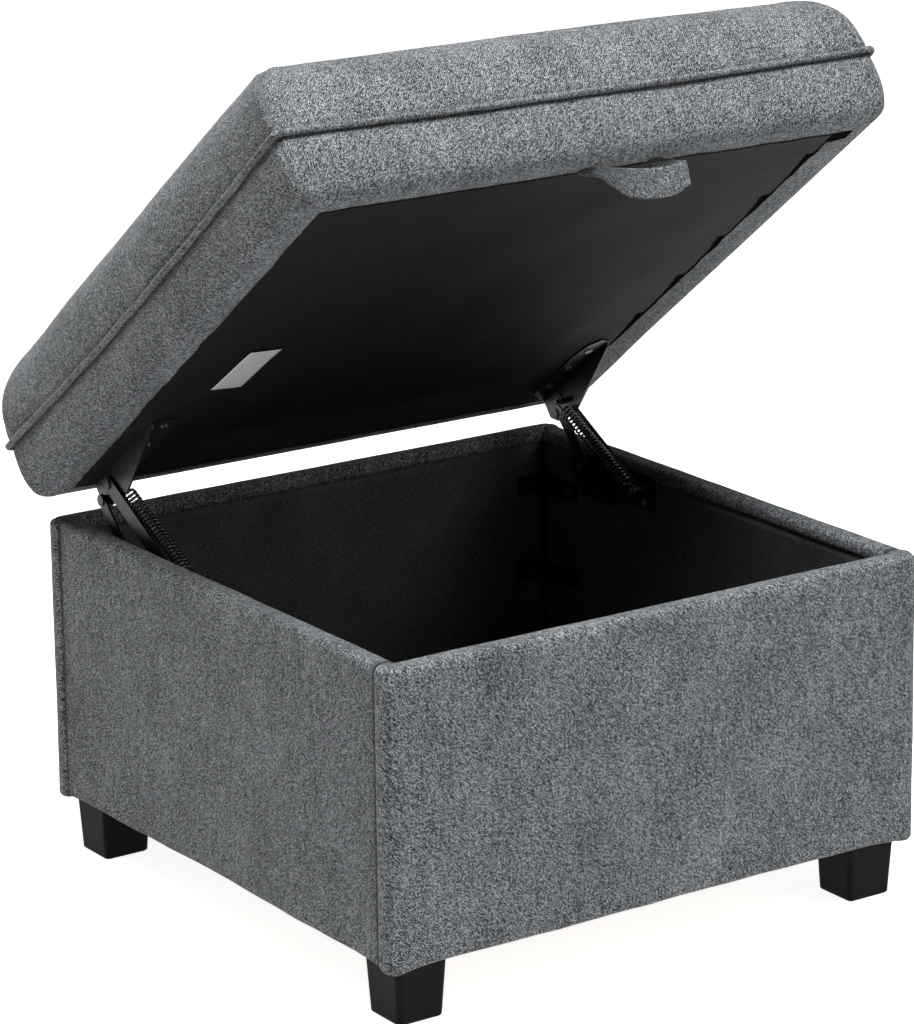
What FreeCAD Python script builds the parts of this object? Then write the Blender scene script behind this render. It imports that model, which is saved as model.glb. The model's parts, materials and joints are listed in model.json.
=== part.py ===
import FreeCAD, Part

# Square upholstered storage ottoman with a cushioned lid, held open on two four-bar spring hinges.
# Millimetres. +X is the object's right, +Y its back and +Z up. The origin is on the floor, midway
# across the width, and midway between the box's front and the rearmost point of the raised lid.

import math
import os
import re
from types import SimpleNamespace

import Sketcher

Vector = FreeCAD.Vector

# Driving sizes. Heights named _up are above the box's underside, those named _down are below its rim,
# and those named _rise are above it. Places named _fore are in front of the box's back face. In the
# lid, _along runs forwards from its rear reference edge, _below is under its underside and _in is in
# from its widest outline. Sizes named _off are inwards from the inner face of the side wall.
SIZES = {
    # Box, over the fabric
    "width": 560,
    "depth": 560,
    "box_height": 265,
    "cover_thick": 2,
    "panel_thick": 14,
    "lining_thick": 2,
    "rim_round": 5,
    "wrap_down": 14,
    "floor_thick": 12,
    "floor_lining_thick": 1.5,
    # Legs and their bolts
    "leg_height": 57,
    "leg_top": 52,
    "leg_foot": 46,
    "leg_inset": 10,
    "leg_round": 5,
    "foot_round": 1.5,
    "leg_bolt_radius": 4,
    "leg_bolt_depth": 28,
    "nut_radius": 5.3,
    "nut_flange_radius": 9,
    "nut_flange_thick": 1.2,
    "fit_gap": 0.1,
    # Steel angles that join the walls and the floor
    "angle_low_up": 122,
    "angle_high_up": 210,
    "angle_wide": 18,
    "angle_thick": 2,
    "angle_wall_leg": 32,
    "angle_side_leg": 58,
    "angle_wall_bolt": 20,
    "angle_side_bolt": 47,
    "floor_angle_leg": 22,
    "floor_angle_wide": 20,
    "floor_angle_screw": 13,
    "bolt_radius": 3,
    "bolt_head_radius": 5.5,
    "bolt_head_thick": 2.6,
    "bolt_grip": 14,
    "floor_screw_radius": 2,
    "floor_screw_grip": 11,
    # Lid's pose: raised as in the rest pose, and shut
    "lid_tilt": 37.7,
    "lid_open_fore": 37,
    "lid_open_rise": 34,
    "lid_shut_fore": 22.5,
    "lid_gap": 0.5,
    # Cushioned lid, which is wider than the box all round
    "lid_overhang": 30,
    "lid_end_overhang": 19,
    "lid_rear_reach": 27,
    "lid_height": 141,
    "crown": 8,
    "lid_corner": 14,
    "welt_up": 60,
    "welt_radius": 3,
    "welt_stand": 1.2,
    "dust_cover_thick": 1,
    "dust_cover_in": 34,
    "hem_in": 55,
    "board_in": 28,
    "lid_board_thick": 12,
    "board_round": 20,
    "tag_in": 107,
    "tag_along": 224,
    "tag_wide": 38,
    "tag_long": 85,
    "tag_thick": 0.3,
    # Pull loop at the front of the lid
    "loop_left_x": -22,
    "loop_bend_x": 68,
    "loop_end_x": 70,
    "loop_tip_x": 82,
    "loop_near_in": 31,
    "loop_far_in": 17,
    "loop_wide": 28,
    "loop_thick": 3,
    # Hinge base plate
    "plate_front_fore": 202,
    "plate_rear_fore": 70,
    "plate_top_down": 10,
    "plate_heel_down": 36,
    "plate_foot_down": 53,
    "plate_toe_down": 45,
    "plate_foot_front_fore": 136,
    "plate_foot_rear_fore": 88,
    "plate_toe_fore": 152,
    "plate_round": 4,
    "plate_thick": 2,
    "plate_screw_a_fore": 187,
    "plate_screw_a_down": 37,
    "plate_screw_b_fore": 148,
    "plate_screw_b_down": 20,
    "plate_screw_c_fore": 82,
    "plate_screw_c_down": 24,
    "wood_screw_radius": 1.9,
    "wood_screw_head_radius": 3.8,
    "wood_screw_head_thick": 1.7,
    "wood_screw_grip": 11,
    # Hinge arms
    "main_arm_length": 133.5,
    "main_arm_wide": 15,
    "main_arm_thick": 2.5,
    "main_arm_off": 7.2,
    "main_pin_radius": 3,
    "main_pin_along": 24,
    "main_pin_below": 11,
    "rear_arm_length": 94.9,
    "rear_arm_wide": 11.5,
    "rear_arm_thick": 2.2,
    "rear_arm_off": 4.6,
    "rear_pin_radius": 2.5,
    "rear_pin_along": 7.8,
    "rear_pin_below": 19.7,
    "rear_eye_play": 1.8,
    "pin_gap": 0.06,
    "run_gap": 0.3,
    "rivet_head_radius": 5.2,
    "rivet_head_thick": 1.2,
    "boss_radius": 5.2,
    # Lid bracket
    "web_off": 10,
    "web_thick": 2,
    "web_rear_along": -2,
    "web_front_along": 130,
    "web_nose_along": 127,
    "web_nose_below": 5,
    "web_belly_along": 45,
    "web_belly_below": 31,
    "web_heel_along": 8,
    "web_heel_below": 27.5,
    "web_back_below": 19,
    "web_round": 4,
    "flange_wide": 30,
    "flange_tip_along": 138,
    "flange_taper": 12,
    "flange_rear_along": 6,
    "flange_heel_along": 26,
    "flange_thick": 2,
    "flange_screw_off": 28,
    "flange_screw_a_along": 118,
    "flange_screw_b_along": 78,
    "flange_screw_c_along": 38,
    # Springs
    "spring_wire": 2,
    "spring_radius": 5.3,
    "spring_off": 19,
    "spring_neck": 8,
    "spring_step": 0.6,
    "hook_radius": 3.2,
    "hook_tail": 2,
    "hook_wrap_angle": 60,
    "hook_side_gap": 2,
    "spring_pin_radius": 1.8,
    "spring_pin_head_radius": 2.7,
    "spring_pin_fore": 190.5,
    "spring_pin_down": 21.5,
    "spring_pin_along": 30,
    "spring_pin_below": 16,
    "overrun": 5,
}
SPRING_TURNS = 24
# The search for the wire's least gap passes over this share of a turn, and looks this many turns on
GAP_SKIP_SHARE = 0.2
GAP_LOOK_TURNS = 3
# Two directions count as the same when this share of one lies along the other
ALIGNED_SHARE = 0.99

# Cushion's section, from its underside to its crown. Each row has shares of the side's height, of
# the crown, of the largest half size, and of the corner's radius.
CUSHION_SHARES = (
    (0.00, 0, 0.945, 0.80),
    (0.03, 0, 0.973, 0.85),
    (0.11, 0, 0.993, 0.90),
    (0.21, 0, 1.000, 0.95),
    (0.48, 0, 1.000, 1.00),
    (0.65, 0, 0.993, 1.10),
    (0.77, 0, 0.973, 1.30),
    (0.87, 0, 0.939, 1.70),
    (0.94, 0, 0.894, 2.20),
    (0.98, 0, 0.837, 2.80),
    (1.00, 0.1, 0.759, 3.40),
    (1.00, 0.4, 0.620, 4.00),
    (1.00, 0.8, 0.400, 3.60),
    (1.00, 1.0, 0.150, 2.00),
)

SIDES = {"left": -1, "right": 1}
ENDS = {"front": -1, "back": 1}

doc = FreeCAD.newDocument("storage_ottoman")
parts = []


def fill_sheet(name, cells):
    """A spreadsheet of plain numbers, one alias each, read back as named values."""
    sheet = doc.addObject("Spreadsheet::Sheet", name)
    for row, (alias, number) in enumerate(cells.items(), start=1):
        sheet.set(f"A{row}", repr(float(number)))
        sheet.setAlias(f"A{row}", alias)
    doc.recompute()
    return SimpleNamespace(**{alias: float(sheet.get(alias)) for alias in cells})


size = fill_sheet("sizes", SIZES)
tilt = math.radians(size.lid_tilt)
lid = SimpleNamespace(
    half_x=size.width / 2 + size.lid_overhang,
    half_y=size.depth / 2 + size.lid_end_overhang,
    centre_along=size.depth / 2 + size.lid_end_overhang - size.lid_rear_reach,
    open_back=size.depth - size.lid_open_fore,
    open_up=size.box_height + size.lid_open_rise,
    shut_back=size.depth - size.lid_shut_fore,
    shut_up=size.box_height + size.lid_gap)


def lid_point(back, up, angle, along, below):
    """Where a point of the lid is, as back and up, when its reference edge and tilt are these."""
    return (back - along * math.cos(angle) - below * math.sin(angle),
            up + along * math.sin(angle) - below * math.cos(angle))


def base_pivot(raised, shut, arm):
    """The fixed pivot, in front of and below the chord, of an arm whose end swings raised to shut."""
    chord = (shut[0] - raised[0], shut[1] - raised[1])
    span = math.hypot(*chord)
    drop = math.sqrt(arm * arm - span * span / 4)
    return ((raised[0] + shut[0]) / 2 + chord[1] / span * drop,
            (raised[1] + shut[1]) / 2 - chord[0] / span * drop)


def heading(start, end):
    """Angle of a line in the side view, up from straight back."""
    return math.atan2(end[1] - start[1], end[0] - start[0])


def cushion_rows(inset):
    """Height, half sizes and corner radius of each section of the cushion, drawn in by inset."""
    rows = []
    bottom = size.dust_cover_thick
    top = size.lid_height + size.crown
    smaller = min(lid.half_x, lid.half_y)
    for height_share, crown_share, half_share, corner_share in CUSHION_SHARES:
        up = bottom + height_share * (size.lid_height - bottom) + crown_share * size.crown
        up += inset * (1 - 2 * (up - bottom) / (top - bottom))
        drawn_in = (1 - half_share) * smaller + inset
        rows.append((up, lid.half_x - drawn_in, lid.half_y - drawn_in,
                     corner_share * size.lid_corner - inset))
    return rows


def cushion_reach():
    """How far the raised lid reaches behind the box's front."""
    return max(lid_point(lid.open_back, lid.open_up, tilt, lid.centre_along - half_y, -up)[0]
               for up, _, half_y, _ in cushion_rows(0))


def linkage():
    """Pivots of one hinge in the side view, raised and shut, and how far each piece swings."""
    raised, shut = {}, {}
    for pin, along, below in (("main", size.main_pin_along, size.main_pin_below),
                              ("rear", size.rear_pin_along, size.rear_pin_below),
                              ("spring", size.spring_pin_along, size.spring_pin_below)):
        raised[pin] = lid_point(lid.open_back, lid.open_up, tilt, along, below)
        shut[pin] = lid_point(lid.shut_back, lid.shut_up, 0, along, below)
    fixed = {"main": base_pivot(raised["main"], shut["main"], size.main_arm_length),
             "rear": base_pivot(raised["rear"], shut["rear"], size.rear_arm_length),
             "spring": (size.depth - size.spring_pin_fore, size.box_height - size.spring_pin_down)}
    swing = {pin: heading(fixed[pin], raised[pin]) - heading(fixed[pin], shut[pin]) for pin in fixed}
    return raised, shut, fixed, swing


raised, shut, fixed, swing = linkage()
front_y = -cushion_reach() / 2
place = fill_sheet("places", {
    "front_y": front_y,
    "middle_y": front_y + size.depth / 2,
    "half_width": size.width / 2,
    "half_depth": size.depth / 2,
    "inner_x": size.width / 2 - size.cover_thick - size.panel_thick - size.lining_thick,
    "inner_y": size.depth / 2 - size.cover_thick - size.panel_thick - size.lining_thick,
    "back_y": front_y + size.depth,
    "rim_z": size.leg_height + size.box_height,
    "lid_half_x": lid.half_x,
    "lid_half_y": lid.half_y,
    "lid_centre_along": lid.centre_along,
    "main_y": front_y + fixed["main"][0],
    "main_z": size.leg_height + fixed["main"][1],
    "rear_y": front_y + fixed["rear"][0],
    "rear_z": size.leg_height + fixed["rear"][1],
    "pull_y": front_y + fixed["spring"][0],
    "pull_z": size.leg_height + fixed["spring"][1],
})
LID_PLACE = FreeCAD.Placement(
    Vector(0, front_y + lid.open_back, size.leg_height + lid.open_up),
    FreeCAD.Rotation(Vector(1, 0, 0), -size.lid_tilt))


def bound(text):
    """An expression with its words pointed at the spreadsheets."""
    def cell(match):
        word = match.group(0)
        return ("places." if hasattr(place, word) else "sizes.") + word
    return re.sub(r"[a-z_]{3,}", cell, text)


def amount(text):
    """The value of a sum or product of named values, worked out in a scratch cell of its own."""
    probe = doc.getObject("probe") or doc.addObject("Part::Box", "probe")
    return float(probe.evalExpression(bound(text)))


def signed(sign, text):
    return text if sign > 0 else f"-({text})"


def bind(thing, cells):
    for path, text in cells.items():
        thing.setExpression(path, bound(text))
    return thing


def block(name, x, y, z, side=1, end=0):
    """A box between pairs of expressions. side -1 mirrors x; end 1 or -1 takes y from the middle."""
    box = doc.addObject("Part::Box", name)
    x_start = x[0] if side > 0 else f"-({x[1]})"
    y_start = y[0]
    if end:
        y_start = f"middle_y + ({y[0]})" if end > 0 else f"middle_y - ({y[1]})"
    return bind(box, {"Length": f"({x[1]}) - ({x[0]})", "Width": f"({y[1]}) - ({y[0]})",
                      "Height": f"({z[1]}) - ({z[0]})", ".Placement.Base.x": x_start,
                      ".Placement.Base.y": y_start, ".Placement.Base.z": z[0]})


def bar(name, axis, start, length, centre, radius):
    """A cylinder along an axis: its start on it, its length, the other two places and its radius."""
    rod = doc.addObject("Part::Cylinder", name)
    turn = {"x": (Vector(0, 1, 0), 90), "y": (Vector(1, 0, 0), -90), "z": (Vector(0, 0, 1), 0)}[axis]
    rod.Placement = FreeCAD.Placement(Vector(), FreeCAD.Rotation(*turn))
    others = [letter for letter in "xyz" if letter != axis]
    return bind(rod, {"Radius": radius, "Height": length, f".Placement.Base.{axis}": start,
                      f".Placement.Base.{others[0]}": centre[0],
                      f".Placement.Base.{others[1]}": centre[1]})


def side_bar(name, side, off_from, off_to, centre, radius):
    """A cylinder across the width, between two distances in from the side wall's inner face."""
    start = f"inner_x - ({off_to})" if side > 0 else f"-inner_x + ({off_from})"
    return bar(name, "x", start, f"({off_to}) - ({off_from})", centre, radius)


def cut(name, base, tool):
    thing = doc.addObject("Part::Cut", name)
    thing.Base, thing.Tool = base, tool
    return thing


def common(name, base, tool):
    thing = doc.addObject("Part::Common", name)
    thing.Base, thing.Tool = base, tool
    return thing


def join(name, shapes):
    thing = doc.addObject("Part::MultiFuse", name)
    thing.Shapes = shapes
    thing.Refine = True
    return thing


def group(name, shapes):
    thing = doc.addObject("Part::Compound", name)
    thing.Links = shapes
    return thing


def made(name, shape, placement=None):
    thing = doc.addObject("Part::Feature", name)
    thing.Shape = shape
    if placement:
        thing.Placement = placement
    return thing


def keep(node, thing, placement=None):
    """Hand a finished sub-part over under its node's name."""
    if placement:
        thing.Placement = placement
    thing.Label = node
    parts.append(thing)
    return thing


def rounded(name, base, radius, wanted):
    """Fillet the edges of base for which wanted(middle, direction) holds."""
    doc.recompute()
    picked = []
    for index, edge in enumerate(base.Shape.Edges, start=1):
        middle = edge.valueAt((edge.FirstParameter + edge.LastParameter) / 2)
        direction = edge.tangentAt(edge.FirstParameter)
        if wanted(middle, direction):
            picked.append((index, radius, radius))
    thing = doc.addObject("Part::Fillet", name)
    thing.Base, thing.Edges = base, picked
    return thing


def rounded_rectangle(centre, half_x, half_y, corner, up):
    """A rectangular ring with round corners about a centre."""
    flat_x, flat_y = half_x - corner, half_y - corner
    slant = corner / math.sqrt(2)
    edges = []
    for sx, sy in ((1, 1), (-1, 1), (-1, -1), (1, -1)):
        middle = Vector(centre[0] + sx * (flat_x + slant), centre[1] + sy * (flat_y + slant), up)
        on_x = Vector(centre[0] + sx * half_x, centre[1] + sy * flat_y, up)
        on_y = Vector(centre[0] + sx * flat_x, centre[1] + sy * half_y, up)
        first, last = (on_x, on_y) if sx * sy > 0 else (on_y, on_x)
        if edges:
            edges.append(Part.LineSegment(edges[-1].lastVertex().Point, first).toShape())
        edges.append(Part.Arc(first, middle, last).toShape())
    edges.append(Part.LineSegment(edges[-1].lastVertex().Point, edges[0].firstVertex().Point).toShape())
    return Part.Wire(edges)


def near(value, other):
    return abs(value - other) < size.fit_gap


def padded_outline(name, plane, outline, holes, thickness, radius=None, back=False):
    """A PartDesign body: a polygon with holes, padded, its corners rounded by a named radius."""
    body = doc.addObject("PartDesign::Body", name)
    sketch = body.newObject("Sketcher::SketchObject", name + "_outline")
    origin_plane = [item for item in body.Origin.OriginFeatures if item.Role == plane][0]
    sketch.AttachmentSupport = [(origin_plane, "")]
    sketch.MapMode = "FlatFace"
    corners = [(amount(across), amount(up)) for across, up in outline]
    count = len(corners)
    for index in range(count):
        ends = Vector(*corners[index], 0), Vector(*corners[(index + 1) % count], 0)
        sketch.addGeometry(Part.LineSegment(*ends), False)
    for index in range(count):
        sketch.addConstraint(Sketcher.Constraint("Coincident", index, 2, (index + 1) % count, 1))
    rules = []
    for index, (across, up) in enumerate(outline):
        rules += [("DistanceX", index, 1, across), ("DistanceY", index, 1, up)]
    for index, (across, up, hole) in enumerate(holes, start=count):
        circle = Part.Circle(Vector(amount(across), amount(up), 0), Vector(0, 0, 1), amount(hole))
        sketch.addGeometry(circle, False)
        rules += [("DistanceX", index, 3, across), ("DistanceY", index, 3, up)]
        rule = sketch.addConstraint(Sketcher.Constraint("Radius", index, amount(hole)))
        sketch.setExpression(f"Constraints[{rule}]", bound(hole))
    for kind, index, point, text in rules:
        rule = sketch.addConstraint(Sketcher.Constraint(kind, -1, 1, index, point, amount(text)))
        sketch.setExpression(f"Constraints[{rule}]", bound(text))
    pad = body.newObject("PartDesign::Pad", name + "_pad")
    pad.Profile = sketch
    pad.Reversed = back
    bind(pad, {"Length": thickness})
    if radius:
        doc.recompute()
        picked = []
        for index, edge in enumerate(pad.Shape.Edges, start=1):
            straight = isinstance(edge.Curve, Part.Line)
            if straight and near(edge.Length, pad.Length.Value) and edge_crosses(edge, plane):
                picked.append(f"Edge{index}")
        fillet = body.newObject("PartDesign::Fillet", name + "_fillet")
        fillet.Base = (pad, picked)
        bind(fillet, {"Radius": radius})
    return body


def edge_crosses(edge, plane):
    """Whether a straight edge stands square to a sketch's plane."""
    normal = {"XY_Plane": Vector(0, 0, 1), "YZ_Plane": Vector(1, 0, 0)}[plane]
    return abs(edge.tangentAt(edge.FirstParameter).dot(normal)) > ALIGNED_SHARE


def side_frame(x, start, end):
    """Placement whose X runs from start to end in the side view and whose Z runs along +X."""
    angle = heading(start, end)
    along = Vector(0, math.cos(angle), math.sin(angle))
    turn = FreeCAD.Rotation(along, Vector(0, 0, 0), Vector(1, 0, 0), "XZY")
    return FreeCAD.Placement(
        Vector(x, front_y + start[0], size.leg_height + start[1]), turn)


# Walls: a board in each, its fabric cover wrapped over the rim, and a black lining below that


def end_wall(name, end):
    """The front or back wall, as wide as the box."""
    bottom = "leg_height"
    y_outer = "half_depth"
    y_inner = "inner_y"
    hull = block(name + "_hull", ("-half_width", "half_width"), (y_inner, y_outer),
                 (bottom, "rim_z"), end=end)
    core = block(name + "_core", ("-half_width + cover_thick", "half_width - cover_thick"),
                 ("inner_y + lining_thick", "half_depth - cover_thick"),
                 ("leg_height + cover_thick", "rim_z - cover_thick"), end=end)
    outer_y = place.middle_y + end * place.half_depth
    inner_y = place.middle_y + end * place.inner_y

    def wanted(middle, direction):
        if abs(direction.z) > ALIGNED_SHARE:
            return abs(middle.y - outer_y) < abs(middle.y - inner_y)
        return middle.z > place.rim_z - size.rim_round

    hull = rounded(name + "_soft_hull", hull, size.rim_round, wanted)
    core = rounded(name + "_board", core, size.rim_round - size.cover_thick, wanted)
    recess = block(name + "_recess", ("-inner_x", "inner_x"),
                   ("inner_y - overrun", "inner_y + lining_thick"),
                   ("leg_height - overrun", "rim_z - wrap_down"), end=end)
    cover = cut(name + "_cover_cut", cut(name + "_cover_skin", hull, core), recess)
    lining = block(name + "_lining_sheet", ("-inner_x", "inner_x"),
                   ("inner_y", "inner_y + lining_thick"), ("leg_height", "rim_z - wrap_down"), end=end)
    return core, cover, lining


def side_wall(name, side):
    """The left or right wall, between the front and back ones."""
    length = ("-inner_y", "inner_y")
    hull = block(name + "_hull", ("inner_x", "half_width"), length, ("leg_height", "rim_z"),
                 side=side, end=1)
    core = block(name + "_core", ("inner_x + lining_thick", "half_width - cover_thick"), length,
                 ("leg_height + cover_thick", "rim_z - cover_thick"), side=side, end=1)

    def wanted(middle, direction):
        return abs(direction.y) > ALIGNED_SHARE and middle.z > place.rim_z - size.rim_round

    hull = rounded(name + "_soft_hull", hull, size.rim_round, wanted)
    core = rounded(name + "_board", core, size.rim_round - size.cover_thick, wanted)
    recess = block(name + "_recess", ("inner_x - overrun", "inner_x + lining_thick"),
                   ("-half_depth", "half_depth"), ("leg_height - overrun", "rim_z - wrap_down"),
                   side=side, end=1)
    cover = cut(name + "_cover_cut", cut(name + "_cover_skin", hull, core), recess)
    lining = block(name + "_lining_sheet", ("inner_x", "inner_x + lining_thick"), length,
                   ("leg_height + floor_thick", "rim_z - wrap_down"), side=side, end=1)
    return core, cover, lining


def screw(name, axis, face, inward, centre, radius, grip, head_radius, head_thick):
    """A bolt or screw: its shank goes grip deep past a face, and its head stands on that face."""
    deep = f"({face}) - {grip}" if inward < 0 else face
    proud = face if inward < 0 else f"({face}) - {head_thick}"
    shank = bar(name + "_shank", axis, deep, grip, centre, radius)
    head = bar(name + "_head", axis, proud, head_thick, centre, head_radius)
    return join(name, [shank, head])


def wall_angles():
    """Two steel angles in each inner corner of the box, and their bolts."""
    angles, bolts = [], []
    for end_name, end in ENDS.items():
        for side_name, side in SIDES.items():
            for level in ("low", "high"):
                name = f"{end_name}_{side_name}_{level}"
                up = f"leg_height + angle_{level}_up"
                z = (f"{up} - angle_wide / 2", f"{up} + angle_wide / 2")
                on_wall = block(name + "_wall_leg", ("inner_x - angle_wall_leg", "inner_x"),
                                ("inner_y - angle_thick", "inner_y"), z, side, end)
                on_side = block(name + "_side_leg", ("inner_x - angle_thick", "inner_x"),
                                ("inner_y - angle_side_leg", "inner_y"), z, side, end)
                angles.append(join(name + "_angle", [on_wall, on_side]))
                wall_face = f"middle_y + ({signed(end, 'inner_y - angle_thick')})"
                side_face = signed(side, "inner_x - angle_thick")
                across = signed(side, "inner_x - angle_wall_bolt")
                deep = f"middle_y + ({signed(end, 'inner_y - angle_side_bolt')})"
                bolts.append(screw(name + "_wall_bolt", "y", wall_face, end, (across, up),
                                   "bolt_radius", "bolt_grip", "bolt_head_radius", "bolt_head_thick"))
                bolts.append(screw(name + "_side_bolt", "x", side_face, side, (deep, up),
                                   "bolt_radius", "bolt_grip", "bolt_head_radius", "bolt_head_thick"))
    return group("wall_angle_set", angles), group("wall_bolt_set", bolts)


def floor_angles():
    """A small angle at the middle of each wall, which holds the floor board, and its screws."""
    angles, screws = [], []
    top = "leg_height + floor_thick + floor_lining_thick"
    z_up = (top, f"{top} + floor_angle_leg")
    z_flat = (top, f"{top} + angle_thick")
    half = ("-floor_angle_wide / 2", "floor_angle_wide / 2")
    shape = ("floor_screw_radius", "floor_screw_grip", "wood_screw_head_radius", "wood_screw_head_thick")
    for end_name, end in ENDS.items():
        upright = block(end_name + "_floor_upright", half,
                        ("inner_y - angle_thick", "inner_y"), z_up, end=end)
        flat = block(end_name + "_floor_flat", half,
                     ("inner_y - floor_angle_leg", "inner_y"), z_flat, end=end)
        angles.append(join(end_name + "_floor_angle", [upright, flat]))
        face = f"middle_y + ({signed(end, 'inner_y - angle_thick')})"
        screws.append(screw(end_name + "_floor_wall_screw", "y", face, end,
                            ("0", f"{top} + floor_angle_screw"), *shape))
        deep = f"middle_y + ({signed(end, 'inner_y - floor_angle_screw')})"
        screws.append(screw(end_name + "_floor_down_screw", "z", f"{top} + angle_thick", -1,
                            ("0", deep), *shape))
    for side_name, side in SIDES.items():
        upright = block(side_name + "_floor_upright",
                        ("inner_x - angle_thick", "inner_x"), half, z_up, side, end=1)
        flat = block(side_name + "_floor_flat",
                     ("inner_x - floor_angle_leg", "inner_x"), half, z_flat, side, end=1)
        angles.append(join(side_name + "_floor_angle", [upright, flat]))
        face = signed(side, "inner_x - angle_thick")
        screws.append(screw(side_name + "_floor_wall_screw", "x", face, side,
                            ("middle_y", f"{top} + floor_angle_screw"), *shape))
        across = signed(side, "inner_x - floor_angle_screw")
        screws.append(screw(side_name + "_floor_down_screw", "z", f"{top} + angle_thick", -1,
                            (across, "middle_y"), *shape))
    return group("floor_angle_set", angles), group("floor_screw_set", screws)


# Legs, with the bolts and tee nuts that hold them


def leg(name, side, end):
    """A square leg that narrows to its foot, with rounded uprights and a blind bolt hole."""
    foot, top = size.leg_foot / 2, size.leg_top / 2
    sections = ((foot - size.foot_round, size.leg_round - size.foot_round, 0),
                (foot, size.leg_round, size.foot_round),
                (top, size.leg_round, size.leg_height))
    blank = Part.makeLoft([rounded_rectangle((0, 0), half, half, corner, up)
                           for half, corner, up in sections], True, True)
    body = made(name, blank)
    across = signed(side, "half_width - leg_inset - leg_top / 2")
    deep = f"middle_y + ({signed(end, 'half_depth - leg_inset - leg_top / 2')})"
    bind(body, {".Placement.Base.x": across, ".Placement.Base.y": deep})
    hole = bar(name + "_hole", "z", "leg_height - leg_bolt_depth", "leg_bolt_depth + overrun",
               (across, deep), "leg_bolt_radius + fit_gap")
    bolt = bar(name + "_bolt", "z", "leg_height - leg_bolt_depth + fit_gap",
               "leg_bolt_depth + floor_thick - fit_gap", (across, deep), "leg_bolt_radius")
    barrel = bar(name + "_nut_barrel", "z", "leg_height + cover_thick", "floor_thick - cover_thick",
                 (across, deep), "nut_radius")
    flange = bar(name + "_nut_flange", "z", "leg_height + floor_thick - nut_flange_thick",
                 "nut_flange_thick", (across, deep), "nut_flange_radius")
    bore = bar(name + "_nut_bore", "z", "leg_height", "floor_thick + overrun", (across, deep),
               "leg_bolt_radius + fit_gap")
    nut = cut(name + "_nut", join(name + "_nut_blank", [barrel, flange]), bore)
    seat = join(name + "_nut_seat", [
        bar(name + "_seat_bore", "z", "leg_height - overrun", "floor_thick + overrun * 2",
            (across, deep), "nut_radius"),
        bar(name + "_seat_flange", "z", "leg_height + floor_thick - nut_flange_thick",
            "overrun", (across, deep), "nut_flange_radius")])
    return cut(name + "_drilled", body, hole), bolt, nut, seat


# Hinges. Every piece is drawn for one side and mirrored for the other


def side_sheet(name, side, off, outline, holes, thickness, radius):
    """A flat steel sheet square to X, its outer face a distance in from the side wall."""
    body = padded_outline(name, "YZ_Plane", outline, holes, thickness, radius)
    start = f"inner_x - {off} - {thickness}" if side > 0 else f"-inner_x + {off}"
    return bind(body, {".Placement.Base.x": start})


def arm(name, side, length, wide, off, thick, pin, far_eye, start, end):
    """A flat bar with round ends and an eye at each pivot, laid from one pivot to the other."""
    eye_radius = f"{wide} / 2"
    straight = bind(doc.addObject("Part::Box", name + "_bar"), {
        "Length": length, "Width": wide, "Height": thick, ".Placement.Base.y": f"-{wide} / 2"})
    ends = [bind(doc.addObject("Part::Cylinder", f"{name}_end_{index}"), {
        "Radius": eye_radius, "Height": thick, ".Placement.Base.x": across})
        for index, across in enumerate(("0", length))]
    blank = join(name + "_blank", [straight, *ends])
    eyes = [bind(doc.addObject("Part::Cylinder", f"{name}_eye_{index}"), {
        "Radius": radius, "Height": f"{thick} + overrun * 2", ".Placement.Base.x": across,
        ".Placement.Base.z": "-overrun"})
        for index, (across, radius) in enumerate((("0", f"{pin} + pin_gap"), (length, far_eye)))]
    x = amount(f"inner_x - {off} - {thick}" if side > 0 else f"-inner_x + {off}")
    return cut(name + "_drilled", blank, join(name + "_eyes", eyes)), side_frame(x, start, end)


def rivet(name, side, centre, pieces):
    """Cylinders on one axis across the width: each has its two distances in, and its radius."""
    rods = [side_bar(f"{name}_{index}", side, start, end, centre, radius)
            for index, (start, end, radius) in enumerate(pieces)]
    return join(name, rods)


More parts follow.
